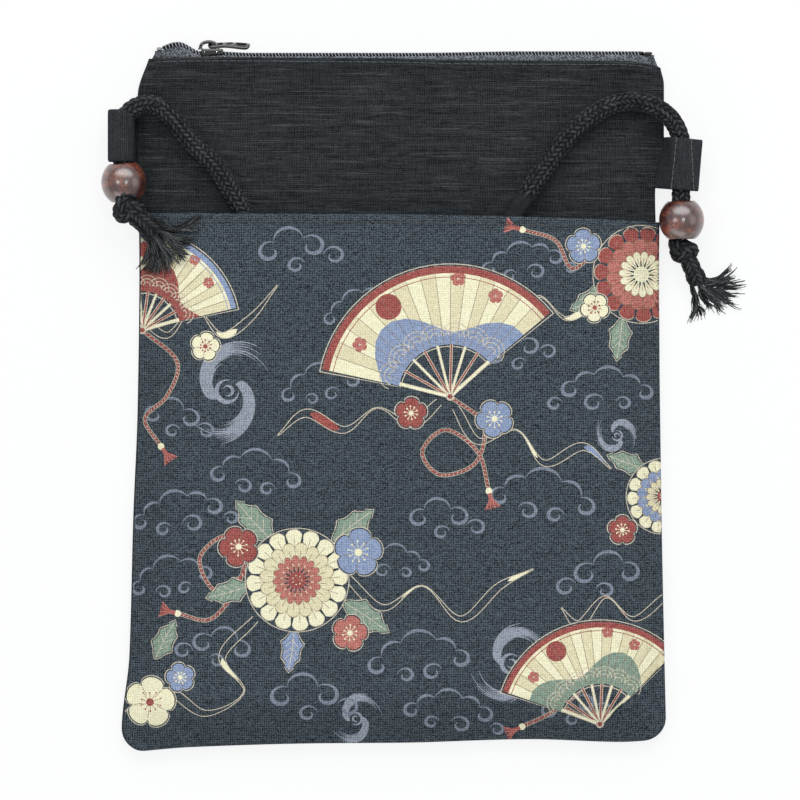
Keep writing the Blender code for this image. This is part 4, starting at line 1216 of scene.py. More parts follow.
def fan(art, x, y, radius, turn, spread, band, field):
    """A half open folding fan: ribs, pleated paper, a coloured field with wave scales, and a band."""
    move = placed(x, y, turn)
    low, high = 90 - spread / 2, 90 + spread / 2
    inner = radius * 0.4
    ribs, folds = 9, 18

    def paper(angle, up):
        """The place on the paper at an angle in degrees and a share of the way from its inner edge."""
        return ray(math.radians(angle), blend(inner, radius, up))[0]

    def sector(r0, r1, a0, a1, steps):
        return move(arc(0, 0, r1, a0, a1, steps) + arc(0, 0, r0, a1, a0, steps))

    art.blob(sector(inner - 0.9, radius + 0.9, low - 1.4, high + 1.4, 24), "line")
    art.blob(sector(inner - 0.55, radius + 0.55, low - 0.95, high + 0.95, 24), "ground")
    for k in range(ribs):
        wide = 0.9 if k in (0, ribs - 1) else 0.55
        rib = move([(0.0, 0.0), paper(blend(low + 2, high - 2, k / (ribs - 1)), 0)])
        art.stroke(rib, wide + 0.5, "line")
        art.stroke(rib, wide, "red" if k % 2 else "cream")
    for k in range(folds):
        fold = sector(inner, radius, blend(low, high, k / folds), blend(low, high, (k + 1) / folds), 2)
        art.blob(fold, "cream" if k % 2 else "cream_soft")

    # The coloured field, a curved bank across the paper, and its scales
    bank = [paper(blend(low, high, k / 16), 0.36 + 0.2 * math.sin(k * 0.55 + turn)) for k in range(17)]
    art.blob(move(arc(0, 0, inner, high, low, 16) + bank), field)
    for k in range(7):
        angle = blend(low + 8, high - 8, k / 6)
        for ring in (3, 2, 1):
            scale = arc(*paper(angle, 0.1), radius * 0.036 * ring, angle - 90, angle + 90, 8)
            art.stroke(move(scale), 0.3, "line")

    # A sun and small blossoms on the pale part, the band, the pleats and the pivot
    art.blob(move(arc(*paper(blend(low, high, 0.66), 0.72), radius * 0.1, 0, 340, 18)), "red")
    for share, up in ((0.2, 0.74), (0.36, 0.84), (0.86, 0.66)):
        spot = move([paper(blend(low, high, share), up)])[0]
        blossom(art, *spot, radius * 0.058, turn + 30 * share, "red_soft", "line")
    art.blob(sector(radius * 0.945, radius, low, high, 24), band)
    art.stroke(move(arc(0, 0, radius * 0.915, low, high, 24)), 0.28, band)
    for k in range(1, folds):
        pleat = ray(math.radians(blend(low, high, k / folds)), inner + 0.3, radius * 0.93)
        art.stroke(move(pleat), 0.2, "ink")
    for size, colour in ((1.5, "line"), (0.9, "red")):
        art.blob(move(arc(0, 0, size, 0, 330, 10)), colour)


def blossom(art, x, y, radius, turn, fill, centre, rng=None):
    """A plum blossom. A large one has a random generator, for its pale edge, veins and stamens."""
    turned = math.radians(turn)
    outline = []
    for angle in turns(50):
        reach = radius * (0.72 + 0.28 * abs(math.cos(2.5 * angle)) ** 0.45)
        outline += ray(angle + turned, reach, x=x, y=y)
    if rng:
        halo(art, outline, (x, y), 0.45)
    art.blob(outline, fill)
    if rng:
        for angle in turns(5):
            vein = (radius * 0.3, (radius * 0.3 + radius * 0.66) / 2, radius * 0.66)
            art.stroke(ray(turned + math.pi / 5 + angle, *vein, x=x, y=y), 0.22, "ink")
        for k in range(10):
            reach = radius * rng.uniform(0.34, 0.48)
            stamen = ray(math.radians(turn + 36 * k + 10), radius * 0.12, reach, x=x, y=y)
            art.stroke(stamen, 0.18, centre)
            art.blob(arc(*stamen[1], 0.34, 0, 300, 5), centre)
    art.blob(arc(x, y, radius * 0.16, 0, 330, 9), centre)


def petal_flower(art, x, y, radius, turn, petals, fills, centre):
    """A many petalled flower in three rings, each petal with a vein and a pale edge."""
    outline = arc(x, y, radius, 0, 352, 44)
    halo(art, outline, (x, y), 0.5)
    art.blob(outline, "ground")
    for ring, (outer, inner, fill) in enumerate(zip((1.0, 0.74, 0.48), (0.36, 0.26, 0.12), fills)):
        for k in range(petals):
            middle = turn + 360 * (k + 0.5 * (ring % 2)) / petals
            half = 180 / petals * (1.05 if ring else 1.0)
            points = []
            for j in range(9):
                across = math.cos(math.pi * j / 8)
                bend = math.radians(middle + half * 0.92 * across)
                points += ray(bend, radius * (outer - 0.1 * abs(across) ** 3), x=x, y=y)
            bend = math.radians(middle)
            points += ray(bend, radius * inner, x=x, y=y)
            art.blob(grown(points, (x, y), 0.3), "ink" if ring else "line")
            art.blob(points, fill)
            vein = ray(bend, radius * (inner + 0.08), radius * (outer - 0.14), x=x, y=y)
            art.stroke(vein, 0.2, "ink")
    art.blob(arc(x, y, radius * 0.17, 0, 340, 14), centre)
    for angle in turns(7):
        art.blob(arc(*ray(angle, radius * 0.09, x=x, y=y)[0], 0.3, 0, 300, 5), "line")


def leaf(art, x, y, turn, length, fill):
    """A lobed leaf with its veins."""
    move = placed(x, y, turn, length)
    lobes, steps = 3, 22
    upper = []
    for k in range(steps + 1):
        t = k / steps
        notch = 1 - 0.36 * abs(math.sin(math.pi * t * lobes)) ** 0.6 * (0 if t > 0.86 else 1)
        upper.append((t, math.sin(math.pi * t ** 0.8) * 0.3 * notch))
    outline = move(upper + [(u, -v) for u, v in reversed(upper[1:-1])])
    halo(art, outline, move([(0.5, 0)])[0], 0.4)
    art.blob(outline, fill)
    art.stroke(move([(0.02, 0), (0.5, 0.015), (0.95, 0)]), 0.26, "line")
    for k in range(lobes):
        t = 0.24 + 0.5 * k / lobes
        for side in (-1, 1):
            art.stroke(move([(t, 0), (t + 0.1, side * 0.09), (t + 0.17, side * 0.15)]), 0.18, "line")


def ribbon(art, points, width, filled):
    """A flowing ribbon: two thin lines, filled where its face is turned to the front."""
    line = curve_2d(points, 9)
    count = len(line)

    def wide(share):
        return width * (0.55 + 0.45 * math.sin(math.pi * 3.2 * share + 0.6))

    for low, high, fill in filled:
        art.stroke(
            line[int(low * count):int(high * count)],
            lambda share: wide(blend(low, high, share)) * math.sin(math.pi * clamp(share)) ** 0.5, fill,
        )
    for side in (-1, 1):
        edge = []
        for k, ((x, y), (nx, ny)) in enumerate(zip(line, normals(line))):
            half = wide(k / (count - 1)) / 2 * side
            edge.append((x + nx * half, y + ny * half))
        art.stroke(edge, 0.3, "line")


def twisted_cord(art, points):
    """A thin red cord with pale twist marks and a fringe at its end."""
    line = curve_2d(points, 10)
    for width, colour in ((1.5, "line"), (1.15, "ground"), (0.85, "red")):
        art.stroke(line, width, colour)
    gone = 0.0
    for (x0, y0), (x1, y1) in zip(line, line[1:]):
        step = math.hypot(x1 - x0, y1 - y0)
        gone += step
        if gone < 1.15:
            continue
        gone = 0.0
        ux, uy = (x1 - x0) / step, (y1 - y0) / step
        mark = [(x1 - uy * w * 0.36 + ux * w * 0.3, y1 + ux * w * 0.36 + uy * w * 0.3) for w in (-1, 0, 1)]
        art.stroke(mark, 0.22, "line")
    (x0, y0), (x1, y1) = line[-3], line[-1]
    step = math.hypot(x1 - x0, y1 - y0)
    ux, uy = (x1 - x0) / step, (y1 - y0) / step
    art.blob(arc(x1, y1, 1.25, 0, 330, 10), "cream")
    for k in range(7):
        lean = (k - 3) / 3 * 0.42
        root = (x1 + ux * 0.8 - uy * lean, y1 + uy * 0.8 + ux * lean)
        middle = (x1 + (ux - uy * lean * 0.4) * 3.2, y1 + (uy + ux * lean * 0.4) * 3.2)
        tip = (x1 + (ux - uy * lean) * 6.4, y1 + (uy + ux * lean) * 6.4)
        art.stroke([root, middle, tip], 0.5, "red" if k % 2 else "red_soft")


def design(art):
    """The pocket's print, laid out in millimetres: fans, flowers and ribbons among clouds and whirls."""
    rng = random.Random(12)
    for x, y, size, turn in ((-62, 4, 20, 40), (78, -12, 9, 150), (40, -94, 17, 10), (-16, -114, 11, 200)):
        swirl(art, x, y, size, turn, rng)
    for item in (
        (-37, 57, 1, 1.35, 6, 1), (-53, -24, 0, 1.2, -4, 1), (46, 52, 2, 1.15, 8, 1),
        (50, -32, 0, 1.4, -6, 1), (72, -60, 1, 1.35, 4, -1), (-78, -38, 2, 1.3, 10, 1),
        (16, -40, 1, 1.2, 0, 1), (-66, -86, 1, 1.2, -8, -1), (8, -90, 0, 1.35, 4, -1),
        (20, -110, 2, 1.25, -6, 1), (-32, -104, 1, 1.4, 0, 1), (72, 6, 2, 1.3, 0, -1),
        (-14, 36, 2, 1.0, 20, 1), (62, -108, 1, 1.1, 10, 1), (-84, -62, 0, 1.1, 14, 1),
        (-28, 8, 0, 1.05, 12, -1), (-80, -4, 1, 1.15, -8, 1), (42, 20, 1, 1.1, 14, 1),
        (-4, -56, 2, 1.0, -4, -1),
    ):
        cloud(art, *item)

    for route in (
        ((18, 2), (30, -8), (27, -22), (14, -26), (8, -18), (16, -10), (28, -18), (32, -32)),
        ((-93, 26), (-80, 14), (-84, 2), (-92, -6), (-86, -16)),
        ((72, -116), (60, -110), (52, -100), (58, -90), (68, -92), (66, -102), (54, -112), (44, -117)),
        ((-37, -64), (-52, -60), (-66, -68), (-72, -56), (-62, -48), (-56, -58), (-68, -78), (-80, -76)),
        ((86, 46), (74, 56), (62, 48), (56, 58), (44, 62)),
    ):
        twisted_cord(art, route)
    for route, width, *filled in (
        (((14, 0), (4, -8), (-8, -2), (-20, -10), (-34, -4), (-44, -12)), 3.4,
         (0.12, 0.3, "cream"), (0.62, 0.8, "red")),
        (((20, -2), (28, -14), (42, -10), (52, -22), (66, -16), (76, -24)), 3.2,
         (0.4, 0.58, "cream"), (0.8, 0.97, "blue")),
        (((-20, -62), (-6, -74), (8, -66), (22, -78), (36, -66), (48, -60)), 3.0,
         (0.3, 0.46, "cream"), (0.84, 0.99, "cream")),
        (((-52, -78), (-64, -92), (-56, -104), (-70, -112), (-84, -104), (-100, -112)), 3.2,
         (0.2, 0.36, "cream")),
        (((-96, 34), (-84, 24), (-74, 34), (-64, 24), (-54, 30), (-44, 42)), 2.8, (0.55, 0.72, "cream")),
        (((72, 38), (60, 30), (50, 38), (40, 28), (30, 36)), 2.6, (0.1, 0.3, "cream")),
        (((96, -70), (84, -78), (74, -70), (64, -80), (58, -74)), 2.8, (0.3, 0.55, "red")),
    ):
        ribbon(art, route, width, filled)

    fan(art, 18, 2, 47, 14, 128, "red", "blue")
    fan(art, -93, 26, 35, -22, 110, "blue", "red")
    fan(art, 72, -116, 37, 12, 118, "red", "sage")
    for item in (
        (-46, -50, 132, 19, "sage"), (-24, -50, 38, 18, "sage"), (-20, -72, -34, 19, "sage"),
        (-54, -66, 196, 16, "sage"), (-38, -82, -98, 15, "blue"), (76, 40, 205, 16, "sage"),
        (80, 30, 262, 15, "sage"), (88, -24, 160, 14, "sage"), (-88, -92, 62, 15, "sage"),
    ):
        leaf(art, *item)
    petal_flower(art, -37, -64, 18, 4, 16, ("cream", "cream_soft", "red_soft"), "red")
    petal_flower(art, 87, 46, 17, 9, 15, ("red", "red_soft", "cream"), "cream")
    petal_flower(art, 95, -34, 13, 3, 14, ("cream", "blue", "cream_soft"), "red")
    for item in (
        (-15, -54, 8.5, 12, "blue", "cream"), (-58, -52, 7, 40, "red", "cream"),
        (-18, -83, 6.2, 5, "red_soft", "cream"), (66, 56, 6, 22, "blue", "cream"),
        (70, 34, 5, 50, "cream", "red"), (-90, -108, 9, 10, "cream", "red"),
        (-79, -99, 5, 30, "blue", "cream"), (4, -4, 5.5, 15, "red", "cream"),
        (34, -6, 6.5, 44, "blue", "cream"), (-70, 20, 5, 8, "cream", "red"), (80, -46, 5, 18, "red", "cream"),
    ):
        blossom(art, *item, rng)


def pocket_grid():
    """The outline and inner points of the pocket's cloth, in millimetres."""
    rows = stations(-HALF_HEIGHT, MOUTH, EDGE_STEPS, FOLD_STEPS, 2.2 * MM)
    lines = []
    for flat in rows:
        spacing = 1.0 * MM if MOUTH - flat < 6 * MM else 2.2 * MM
        xs = stations(*POCKET.limits(flat), EDGE_STEPS, EDGE_STEPS, spacing)
        lines.append([(x / MM, POCKET.place(x, flat) / MM) for x in xs])
    right = [line[-1] for line in lines[1:-1]]
    left = [line[0] for line in lines[1:-1]]
    outline = lines[0] + right + lines[-1][::-1] + left[::-1]
    return outline, [point for line in lines[1:-1] for point in line[1:-1]]


def make_pocket():
    """The pocket's cloth: the print is cut into its upper side, and its underside is plain."""
    art = Print()
    design(art)
    outline, grid = pocket_grid()
    edge = len(outline)
    points = [Vector(point) for point in outline + grid]
    verts, faces, colours = list(points), [list(range(edge))], ["ground"]
    (low_x, high_x), (low_y, high_y) = ((min(values), max(values)) for values in zip(*outline))
    for shape, colour in art.shapes:
        xs, ys = zip(*shape)
        if max(xs) < low_x or min(xs) > high_x or max(ys) < low_y or min(ys) > high_y:
            continue
        faces.append(list(range(len(verts), len(verts) + len(shape))))
        verts += [Vector(point) for point in shape]
        colours.append(colour)
    flat, _, triangles, _, _, owners = geometry.delaunay_2d_cdt(verts, [], faces, 0, 1e-4, True)
    names = list(PRINT_COLOURS)
    cells = [(v.x * MM, v.y * MM, pocket_top(v.x * MM, v.y * MM)) for v in flat]
    kept, slots = [], []
    for triangle, owner in zip(triangles, owners):
        if 0 in owner:
            kept.append(tuple(triangle))
            slots.append(names.index(colours[max(owner)]))
    base = len(cells)
    flat, _, triangles, sources, _, owners = geometry.delaunay_2d_cdt(points, [], faces[:1], 0, 1e-4, True)
    for v, source in zip(flat, sources):
        x, y = v.x * MM, v.y * MM
        z = pocket_top(x, y)
        if min(source) >= edge:
            z = min(pocket_under(x, y), z - 0.2 * MM)
        cells.append((x, y, z))
    for triangle, owner in zip(triangles, owners):
        if 0 in owner:
            kept.append(tuple(base + index for index in reversed(triangle)))
            slots.append(0)
    mesh = plain_mesh("pocket_cloth", cells, kept)
    mesh.polygons.foreach_set("material_index", slots)
    mats = [printed_cloth("print_" + name, *PRINT_COLOURS[name]) for name in names]
    pocket = add_piece("pocket_cloth", mesh, mats, ["pocket_panel"])


# Zip

ZIP_LEFT = -85.7 * MM
ZIP_RIGHT = 87.8 * MM
SLIDER_X = -67.7 * MM
SLIDER_LENGTH = 8 * MM
TAPE_LEVEL = 124.3 * MM
TAPE_THICK = 0.5 * MM
TAPE_COLUMNS = 168
TAPE_PARTS = 24
ROW_BASE = 125.1 * MM
ROW_WIDTH = 2.05 * MM
ROW_THICK = 1.35 * MM
TAPE_LIFT = 0.5 * MM
TOOTH_PITCH = 1.2 * MM
TOOTH_DEPTH = 0.6 * MM
TOOTH_STEPS = 12
TOOTH_WIRE = 0.29 * MM
CORE_RADIUS = 0.34 * MM
CORE_STEPS = 160
POST_ROOM = 1.0 * MM
ROW_SAG = 0.55 * MM
OPEN_RISE = 3.3 * MM
OPEN_SPREAD = 1.7 * MM
GAP = 0.3 * MM
# A whipping loop's points: along the zip in millimetres, up as a share of the row, and back in millimetres
LOOP_POINTS = ((0.3, -0.05, 0.15), (0.16, 0.25, -0.05), (-0.1, 0.75, -0.08), (-0.28, 1.04, -0.6))


def zip_sides(x):
    low, high = BODY.limits(HALF_HEIGHT)
    return min(x - low, high - x)


def zip_full(x):
    return fullness(zip_sides(x), 4 * BODY_MARGIN, BODY_MARGIN)


def open_share(x):
    return ease((SLIDER_X - SLIDER_LENGTH / 2 - x) / (8 * MM))


def row_spread(x):
    """How far each row of teeth stands from the zip's middle."""
    at_post = ease((SLIDER_X - x) / (SLIDER_LENGTH / 4))
    return (POST_ROOM * at_post + (OPEN_SPREAD - POST_ROOM) * open_share(x)) * zip_full(x)


def row_rise(x):
    """How far the open rows arch up, less the closed rows' sag."""
    fall = ease((ZIP_LEFT + 5 * MM - x) / (7 * MM))
    sag = ROW_SAG * ease((x - SLIDER_X) / (14 * MM)) * ease((45 * MM - x) / (40 * MM))
    return OPEN_RISE * open_share(x) * (1 - 0.55 * fall) - sag


def zip_middle(x):
    return blend((BACK_SEAM + CLOTH + FRONT_SEAM) / 2, ZIP_LEVEL, zip_full(x))


def tape_line(x, side):
    """The middle line of one tape at x, from the cloth to the teeth."""
    seam, far = zip_sides(x), 4 * BODY_MARGIN
    line = []
    for top in (10 * MM, 5 * MM, 0.6 * MM):
        if side > 0:
            z = front_base(seam, far, top) - GAP - TAPE_THICK / 2
        else:
            z = back_base(seam, far) + CLOTH + GAP + TAPE_THICK / 2
        line.append(Vector((0, BODY.place(x, HALF_HEIGHT - top), z)))
    level = TAPE_LEVEL + TAPE_THICK / 2 + row_rise(x) + TAPE_LIFT
    inner = zip_middle(x) + side * (row_spread(x) + TOOTH_DEPTH)
    reach = abs(z - inner)
    for down, share in ((0.5 * MM, 0.95), (0, 0.62), (0, 0)):
        line.append(Vector((0, level - down, inner + side * reach * share)))
    return smooth_through(line, 6)


def tape_ends(share):
    """Where the tape ends at each side; it is cut at a slant, so it reaches further near the cloth's fold."""
    slant = ease((share - 0.35) / 0.6)
    return blend(-91.6 * MM, -88.4 * MM, slant), blend(94.6 * MM, 91.7 * MM, slant)


def make_tapes(grey):
    for name, node, side in (("tape_front", "zip_tape_front", 1), ("tape_back", "zip_tape_back", -1)):
        soup = Soup()
        sections = []
        for j in range(TAPE_COLUMNS + 1):
            up, down = [], []
            for k in range(TAPE_PARTS + 1):
                x = blend(*tape_ends(k / TAPE_PARTS), j / TAPE_COLUMNS)
                fine = tape_line(x, side)
                total = lengths_along(fine)[-1]
                line = resample(fine, [total * i / TAPE_PARTS for i in range(TAPE_PARTS + 1)])
                ahead = (line[min(TAPE_PARTS, k + 1)] - line[max(0, k - 1)]).normalized()
                across = Vector((0, -ahead.z, ahead.y)) * TAPE_THICK / 2
                up.append((x, line[k].y + across.y, line[k].z + across.z))
                down.append((x, line[k].y - across.y, line[k].z - across.z))
            sections.append(up + down[::-1])
        soup.loft(sections)
        add_piece(name, solid_mesh(name, soup.points, soup.faces, 60), [grey], [node])


def row_point(x, side, across, up):
    """A place on a row of teeth: across from its inner edge, and up from its base."""
    return Vector((x, ROW_BASE + row_rise(x) + up, zip_middle(x) + side * (row_spread(x) + across)))


def make_coils(nylon, thread):
    """Each row of teeth is a flattened coil of monofilament round a core cord, sewn to its tape."""
    count = (ZIP_RIGHT - ZIP_LEFT) / TOOTH_PITCH
    angles = turns(TOOTH_STEPS)
    for name, node, side in (("coil_front", "zip_teeth_front", 1), ("coil_back", "zip_teeth_back", -1)):
        soup = Soup()
        points = []
        for k in range(round(count) * TOOTH_STEPS + 1):
            angle = angles[k % TOOTH_STEPS]
            x = min(ZIP_LEFT + TOOTH_PITCH * (k / TOOTH_STEPS + (0.5 if side < 0 else 0.0)), ZIP_RIGHT)
            half = (ROW_WIDTH + TOOTH_DEPTH / 2) / 2
            head = math.cos(angle)
            across = half - TOOTH_DEPTH / 2 - (half - TOOTH_WIRE) * math.copysign(abs(head) ** 0.7, head)
            up = ROW_THICK / 2 + math.sin(angle) * (ROW_THICK / 2 - TOOTH_WIRE * 0.7)
            points.append(row_point(x, side, across, up))
        soup.tube(points, TOOTH_WIRE, 6)
        places = [blend(ZIP_LEFT, ZIP_RIGHT, k / CORE_STEPS) for k in range(CORE_STEPS + 1)]
        soup.tube([row_point(x, side, ROW_WIDTH * 0.55, ROW_THICK / 2) for x in places], CORE_RADIUS, 8)
        add_piece(name, plain_mesh(name, soup.points, soup.faces), [nylon], [node])

    # Two lanes of stitches along each row, and the loops that whip the front row's edge
    soup = Soup()
    for side in (1, -1):
        for lane in (0.35, 0.62):
            for k in range(int(count)):
                line = []
                for share in (0, 0.25, 0.5, 0.75, 1):
                    lift = 0.1 * MM * math.sin(math.pi * share)
                    x = ZIP_LEFT + TOOTH_PITCH * (k + share)
                    line.append(row_point(x, side, ROW_WIDTH * lane, ROW_THICK + lift - 0.05 * MM))
                soup.tube(line, 0.12 * MM, 5)
    for k in range(1, int(count)):
        foot = row_point(ZIP_LEFT + TOOTH_PITCH * k, 1, ROW_WIDTH, 0)
        line = []
        for shift, up, back in LOOP_POINTS:
            line.append(foot + Vector((shift * MM, ROW_THICK * up, back * MM)))
        soup.tube(smooth_through(line, 3), 0.17 * MM, 6)
    add_piece("coil_stitches", plain_mesh("coil_stitches", soup.points, soup.faces), [thread])


PLATE_LEVEL = 126.6 * MM
PLATE_THICK = 0.75 * MM
PLATE_TOP = PLATE_LEVEL + PLATE_THICK
PLATE_STEPS = 20
LIP_FOOT = 124.9 * MM
KEEL = 124.0 * MM
CROWN_X = SLIDER_X - 1.3 * MM
CROWN_HALF = 3.0
CROWN_RISE = 2.75
PIVOT = Vector((-0.069, 0.1287, 0.0047))
PULL_LENGTH = 15.3 * MM
PULL_BACK = 0.35 * MM
PULL_THICK = 1.0 * MM
PULL_TWIST = math.radians(25)


def rounded(obj, width, segments):
    modifier = obj.modifiers.new("round", "BEVEL")
    modifier.width = width
    modifier.segments = segments
    modifier.limit_method = "ANGLE"
    modifier.angle_limit = math.radians(35)
    modifier.use_clamp_overlap = True


def post_rings(x, rings, count):
    """Rings of an upright oval post: each has its level, and its half size along X and Z, in metres."""
    return [
        [(x + math.cos(angle) * along, level, ZIP_LEVEL + math.sin(angle) * wide) for angle in turns(count)]
        for level, along, wide in rings
    ]


def make_slider(enamel):
    """Two curved plates with rolled lips, the post between them and a bent crown."""
    soup = Soup()
    plates, keels = [], []
    for k in range(PLATE_STEPS + 1):
        share = k / PLATE_STEPS
        x = SLIDER_X + blend(-SLIDER_LENGTH / 2, SLIDER_LENGTH / 2, share)
        end = quarter(min(share, 1 - share), 0.12)
        half = blend(8.6, 6.4, ease(share * 1.2)) / 2 * blend(0.86, 1, end)
        top = PLATE_TOP / MM - 0.3 * (1 - end)
        low = LIP_FOOT / MM + 0.5 * (1 - end)
        inner, under = half - PLATE_THICK / MM, PLATE_LEVEL / MM
        edge = [
            (half + 0.05, top - 0.55), (half - 0.06, top - 0.24), (half - 0.3, top - 0.05),
            (half - 0.7, top + 0.05),
        ]
        ring = [(half, low + 0.2), *edge, (0, top + 0.16), *[(-across, up) for across, up in edge[::-1]]]
        ring += [(-half, low + 0.2), (-half + 0.25, low), (-inner, low + 0.1), (-inner, under)]
        ring += [(inner, under), (inner, low + 0.1), (half - 0.25, low)]
        plates.append([(x, up * MM, ZIP_LEVEL + across * MM) for across, up in ring])
        half = 2.4 * blend(0.8, 1, end)
        ring = [(half, -0.15), (half, -0.5), (half - 0.2, -0.7), (-half + 0.2, -0.7)]
        ring += [(-half, -0.5), (-half, -0.15), (-half + 0.2, 0), (half - 0.2, 0)]
        keels.append([(x, KEEL + up * MM, ZIP_LEVEL + across * MM) for across, up in ring])
    soup.loft(plates)
    soup.loft(keels)
    levels = [blend(KEEL - 0.3 * MM, PLATE_LEVEL + 0.3 * MM, k / 4) for k in range(5)]
    post_x = SLIDER_X - SLIDER_LENGTH / 2 + 1.3 * MM
    soup.loft(post_rings(post_x, [(level, 1 * MM, 0.7 * MM) for level in levels], 12))

    # The crown: a flat strap of metal bent over the plate, with a foot riveted down at each end
    sections = []
    for k in range(29):
        angle = math.pi * k / 28
        lift = max(0.0, math.sin(angle)) ** 0.62
        up = PLATE_TOP - 0.1 * MM + lift * CROWN_RISE * MM
        middle = Vector((CROWN_X - math.cos(angle) * CROWN_HALF * MM, up, ZIP_LEVEL))
        before, after = max(0.02, angle - 0.05), min(math.pi - 0.02, angle + 0.05)
        ahead = Vector((
            (math.cos(before) - math.cos(after)) * CROWN_HALF,
            (math.sin(after) ** 0.62 - math.sin(before) ** 0.62) * CROWN_RISE, 0,
        )).normalized()
        normal = Vector((-ahead.y, ahead.x, 0))
        ring = []
        for turn in turns(16):
            c, n = math.cos(turn), math.sin(turn)
            over = 0.66 * MM * math.copysign(abs(c) ** 0.7, c)
            across = blend(1.45, 1.15, lift) * MM * math.copysign(abs(n) ** 0.6, n)
            ring.append(middle + normal * over + Vector((0, 0, across)))
        sections.append(ring)
    soup.loft(sections)
    foot = ((-0.2, 1.5), (0.25, 1.5), (0.5, 1.3), (0.62, 0.8))
    for x in (CROWN_X - CROWN_HALF * MM, CROWN_X + CROWN_HALF * MM):
        rings = [(PLATE_TOP + height * MM, wide * 0.62 * MM, wide * MM) for height, wide in foot]
        soup.loft(post_rings(x, rings, 16))
    mesh = solid_mesh("slider_body", soup.points, soup.faces, 60)
    add_piece("slider_body", mesh, [enamel], ["zip_slider"], "slider")


def pull_width(t):
    """The pull's half width in millimetres at a share of its length: round ends, a waist and a wide tip."""
    width = blend(1.8, 1.65, ease(t / 0.35)) if t < 0.35 else blend(1.65, 2.25, ease((t - 0.35) / 0.45))
    width *= math.sqrt(max(0.0, 1 - max(0.0, (0.11 - t) / 0.11) ** 2))
    return width * math.sqrt(max(0.0, 1 - max(0.0, (t - 0.87) / 0.13) ** 2))


def long_hole(start, end, half):
    """The outline of a long hole with round ends."""
    points = []
    for middle, first in ((start + half, 90), (end - half, -90)):
        points += arc(middle, 0, half, first, first + 180, 12)
    return points


def make_pull(enamel):
    """A long drop of plate with an eye for the crown and a slot near its tip, its edges well rounded."""
    length = PULL_LENGTH / MM
    shares = [(1 - math.cos(math.pi * k / 30)) / 2 for k in range(31)]
    outline = []
    for side in (1, -1):
        for t in shares[::side]:
            point = (t * length - PULL_BACK / MM, side * pull_width(t))
            if not outline or math.dist(point, outline[-1]) > 0.02:
                outline.append(point)
    loops = [outline[::-1], long_hole(0.75, 5.1, 0.86), long_hole(length - 5.6, length - 1.55, 0.95)]
    flat = [Vector(point) for loop in loops for point in loop]
    faces, start = [], 0
    for loop in loops:
        faces.append(list(range(start, start + len(loop))))
        start += len(loop)
    verts, _, triangles, _, _, owners = geometry.delaunay_2d_cdt(flat, [], faces, 0, 1e-5, True)
    plate = [tuple(triangle) for triangle, owner in zip(triangles, owners) if list(owner) == [0]]
    matrix = Matrix.Translation(PIVOT) @ Matrix.Rotation(PULL_TWIST, 4, "X")
    points = []
    for level in (PULL_THICK / 2, -PULL_THICK / 2):
        for vert in verts:
            bow = 0.5 * MM * math.sin(math.pi * clamp(vert.x / length)) - 0.13 * MM * vert.y ** 2
            points.append(matrix @ Vector((vert.x * MM, level + bow, vert.y * MM)))
    count = len(verts)
    edges = {(a, b) for face in plate for a, b in zip(face, face[1:] + face[:1])}
    faces = plate + [tuple(index + count for index in reversed(face)) for face in plate]
    faces += [(b, a, a + count, b + count) for a, b in sorted(edges) if (b, a) not in edges]
    pull = add_piece(
        "pull_drop", solid_mesh("pull_drop", points, faces, 60), [enamel], ["zip_pull"], "pull"
    )
    rounded(pull, 0.3 * MM, 4)


def dress_stops(nickel, enamel):
    """The CAD's own stops with rounded edges: bright at the open end, enamelled at the closed one."""
    for name, mat in (
        ("zip_top_stop_front", nickel), ("zip_top_stop_back", nickel), ("zip_bottom_stop", enamel),
    ):
        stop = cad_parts[name]
        for place in stop.material_slots:
            place.material = mat
        rounded(stop, 0.12 * MM, 2)


# Tabs

TAB_RIB = 0.8 * MM
TAB_CLOTH = 0.85 * MM
TAB_REACH = STRAP_DIAMETER / 2 + 0.35 * MM + 0.9 * MM
TAB_POINTS = 200
TAB_LEFT_X = -100.55 * MM
TAB_LEFT_Z = STRAP_LEVEL - 0.9 * MM
TAB_LOW_LEFT = HALF_HEIGHT - 36.5 * MM
TAB_LOW_RIGHT = HALF_HEIGHT - 46.5 * MM
TAB_LONG_LEFT = 18.9 * MM
TAB_LONG_RIGHT = 18.6 * MM
# The right tab's two seams, each from its top to its bottom, in pixels of the photograph
TAB_SEAMS = (((676.6, 137), (671.3, 189)), ((691, 138), (694, 190)))
TAB_STITCHES = 8


def band_outline(circles, cloth, steps):
    """The outline of a band round circles of (x, z, radius), and the outline one cloth inside it."""
    outer, inner = [], []
    for angle in turns(steps):
        n = Vector((math.cos(angle), math.sin(angle)))
        weights = 0.0
        total = Vector((0, 0))
        top = max(x * n.x + z * n.y + radius for x, z, radius in circles)
        for x, z, radius in circles:
            weight = math.exp(-(top - (x * n.x + z * n.y + radius)) / (0.12 * MM))
            weights += weight
            total += Vector((x + radius * n.x, z + radius * n.y)) * weight
        point = total / weights
        outer.append((point.x, point.y))
        inner.append((point.x - n.x * cloth, point.y - n.y * cloth))
    return outer, inner


def top_at(outline, x):
    """The highest z of a closed outline of (x, z) at x."""
    found = []
    for (x0, z0), (x1, z1) in zip(outline, outline[1:] + outline[:1]):
        if (x0 > x) != (x1 > x):
            found.append(blend(z0, z1, (x - x0) / (x1 - x0)))
    return max(found) if found else max(z for _, z in outline)


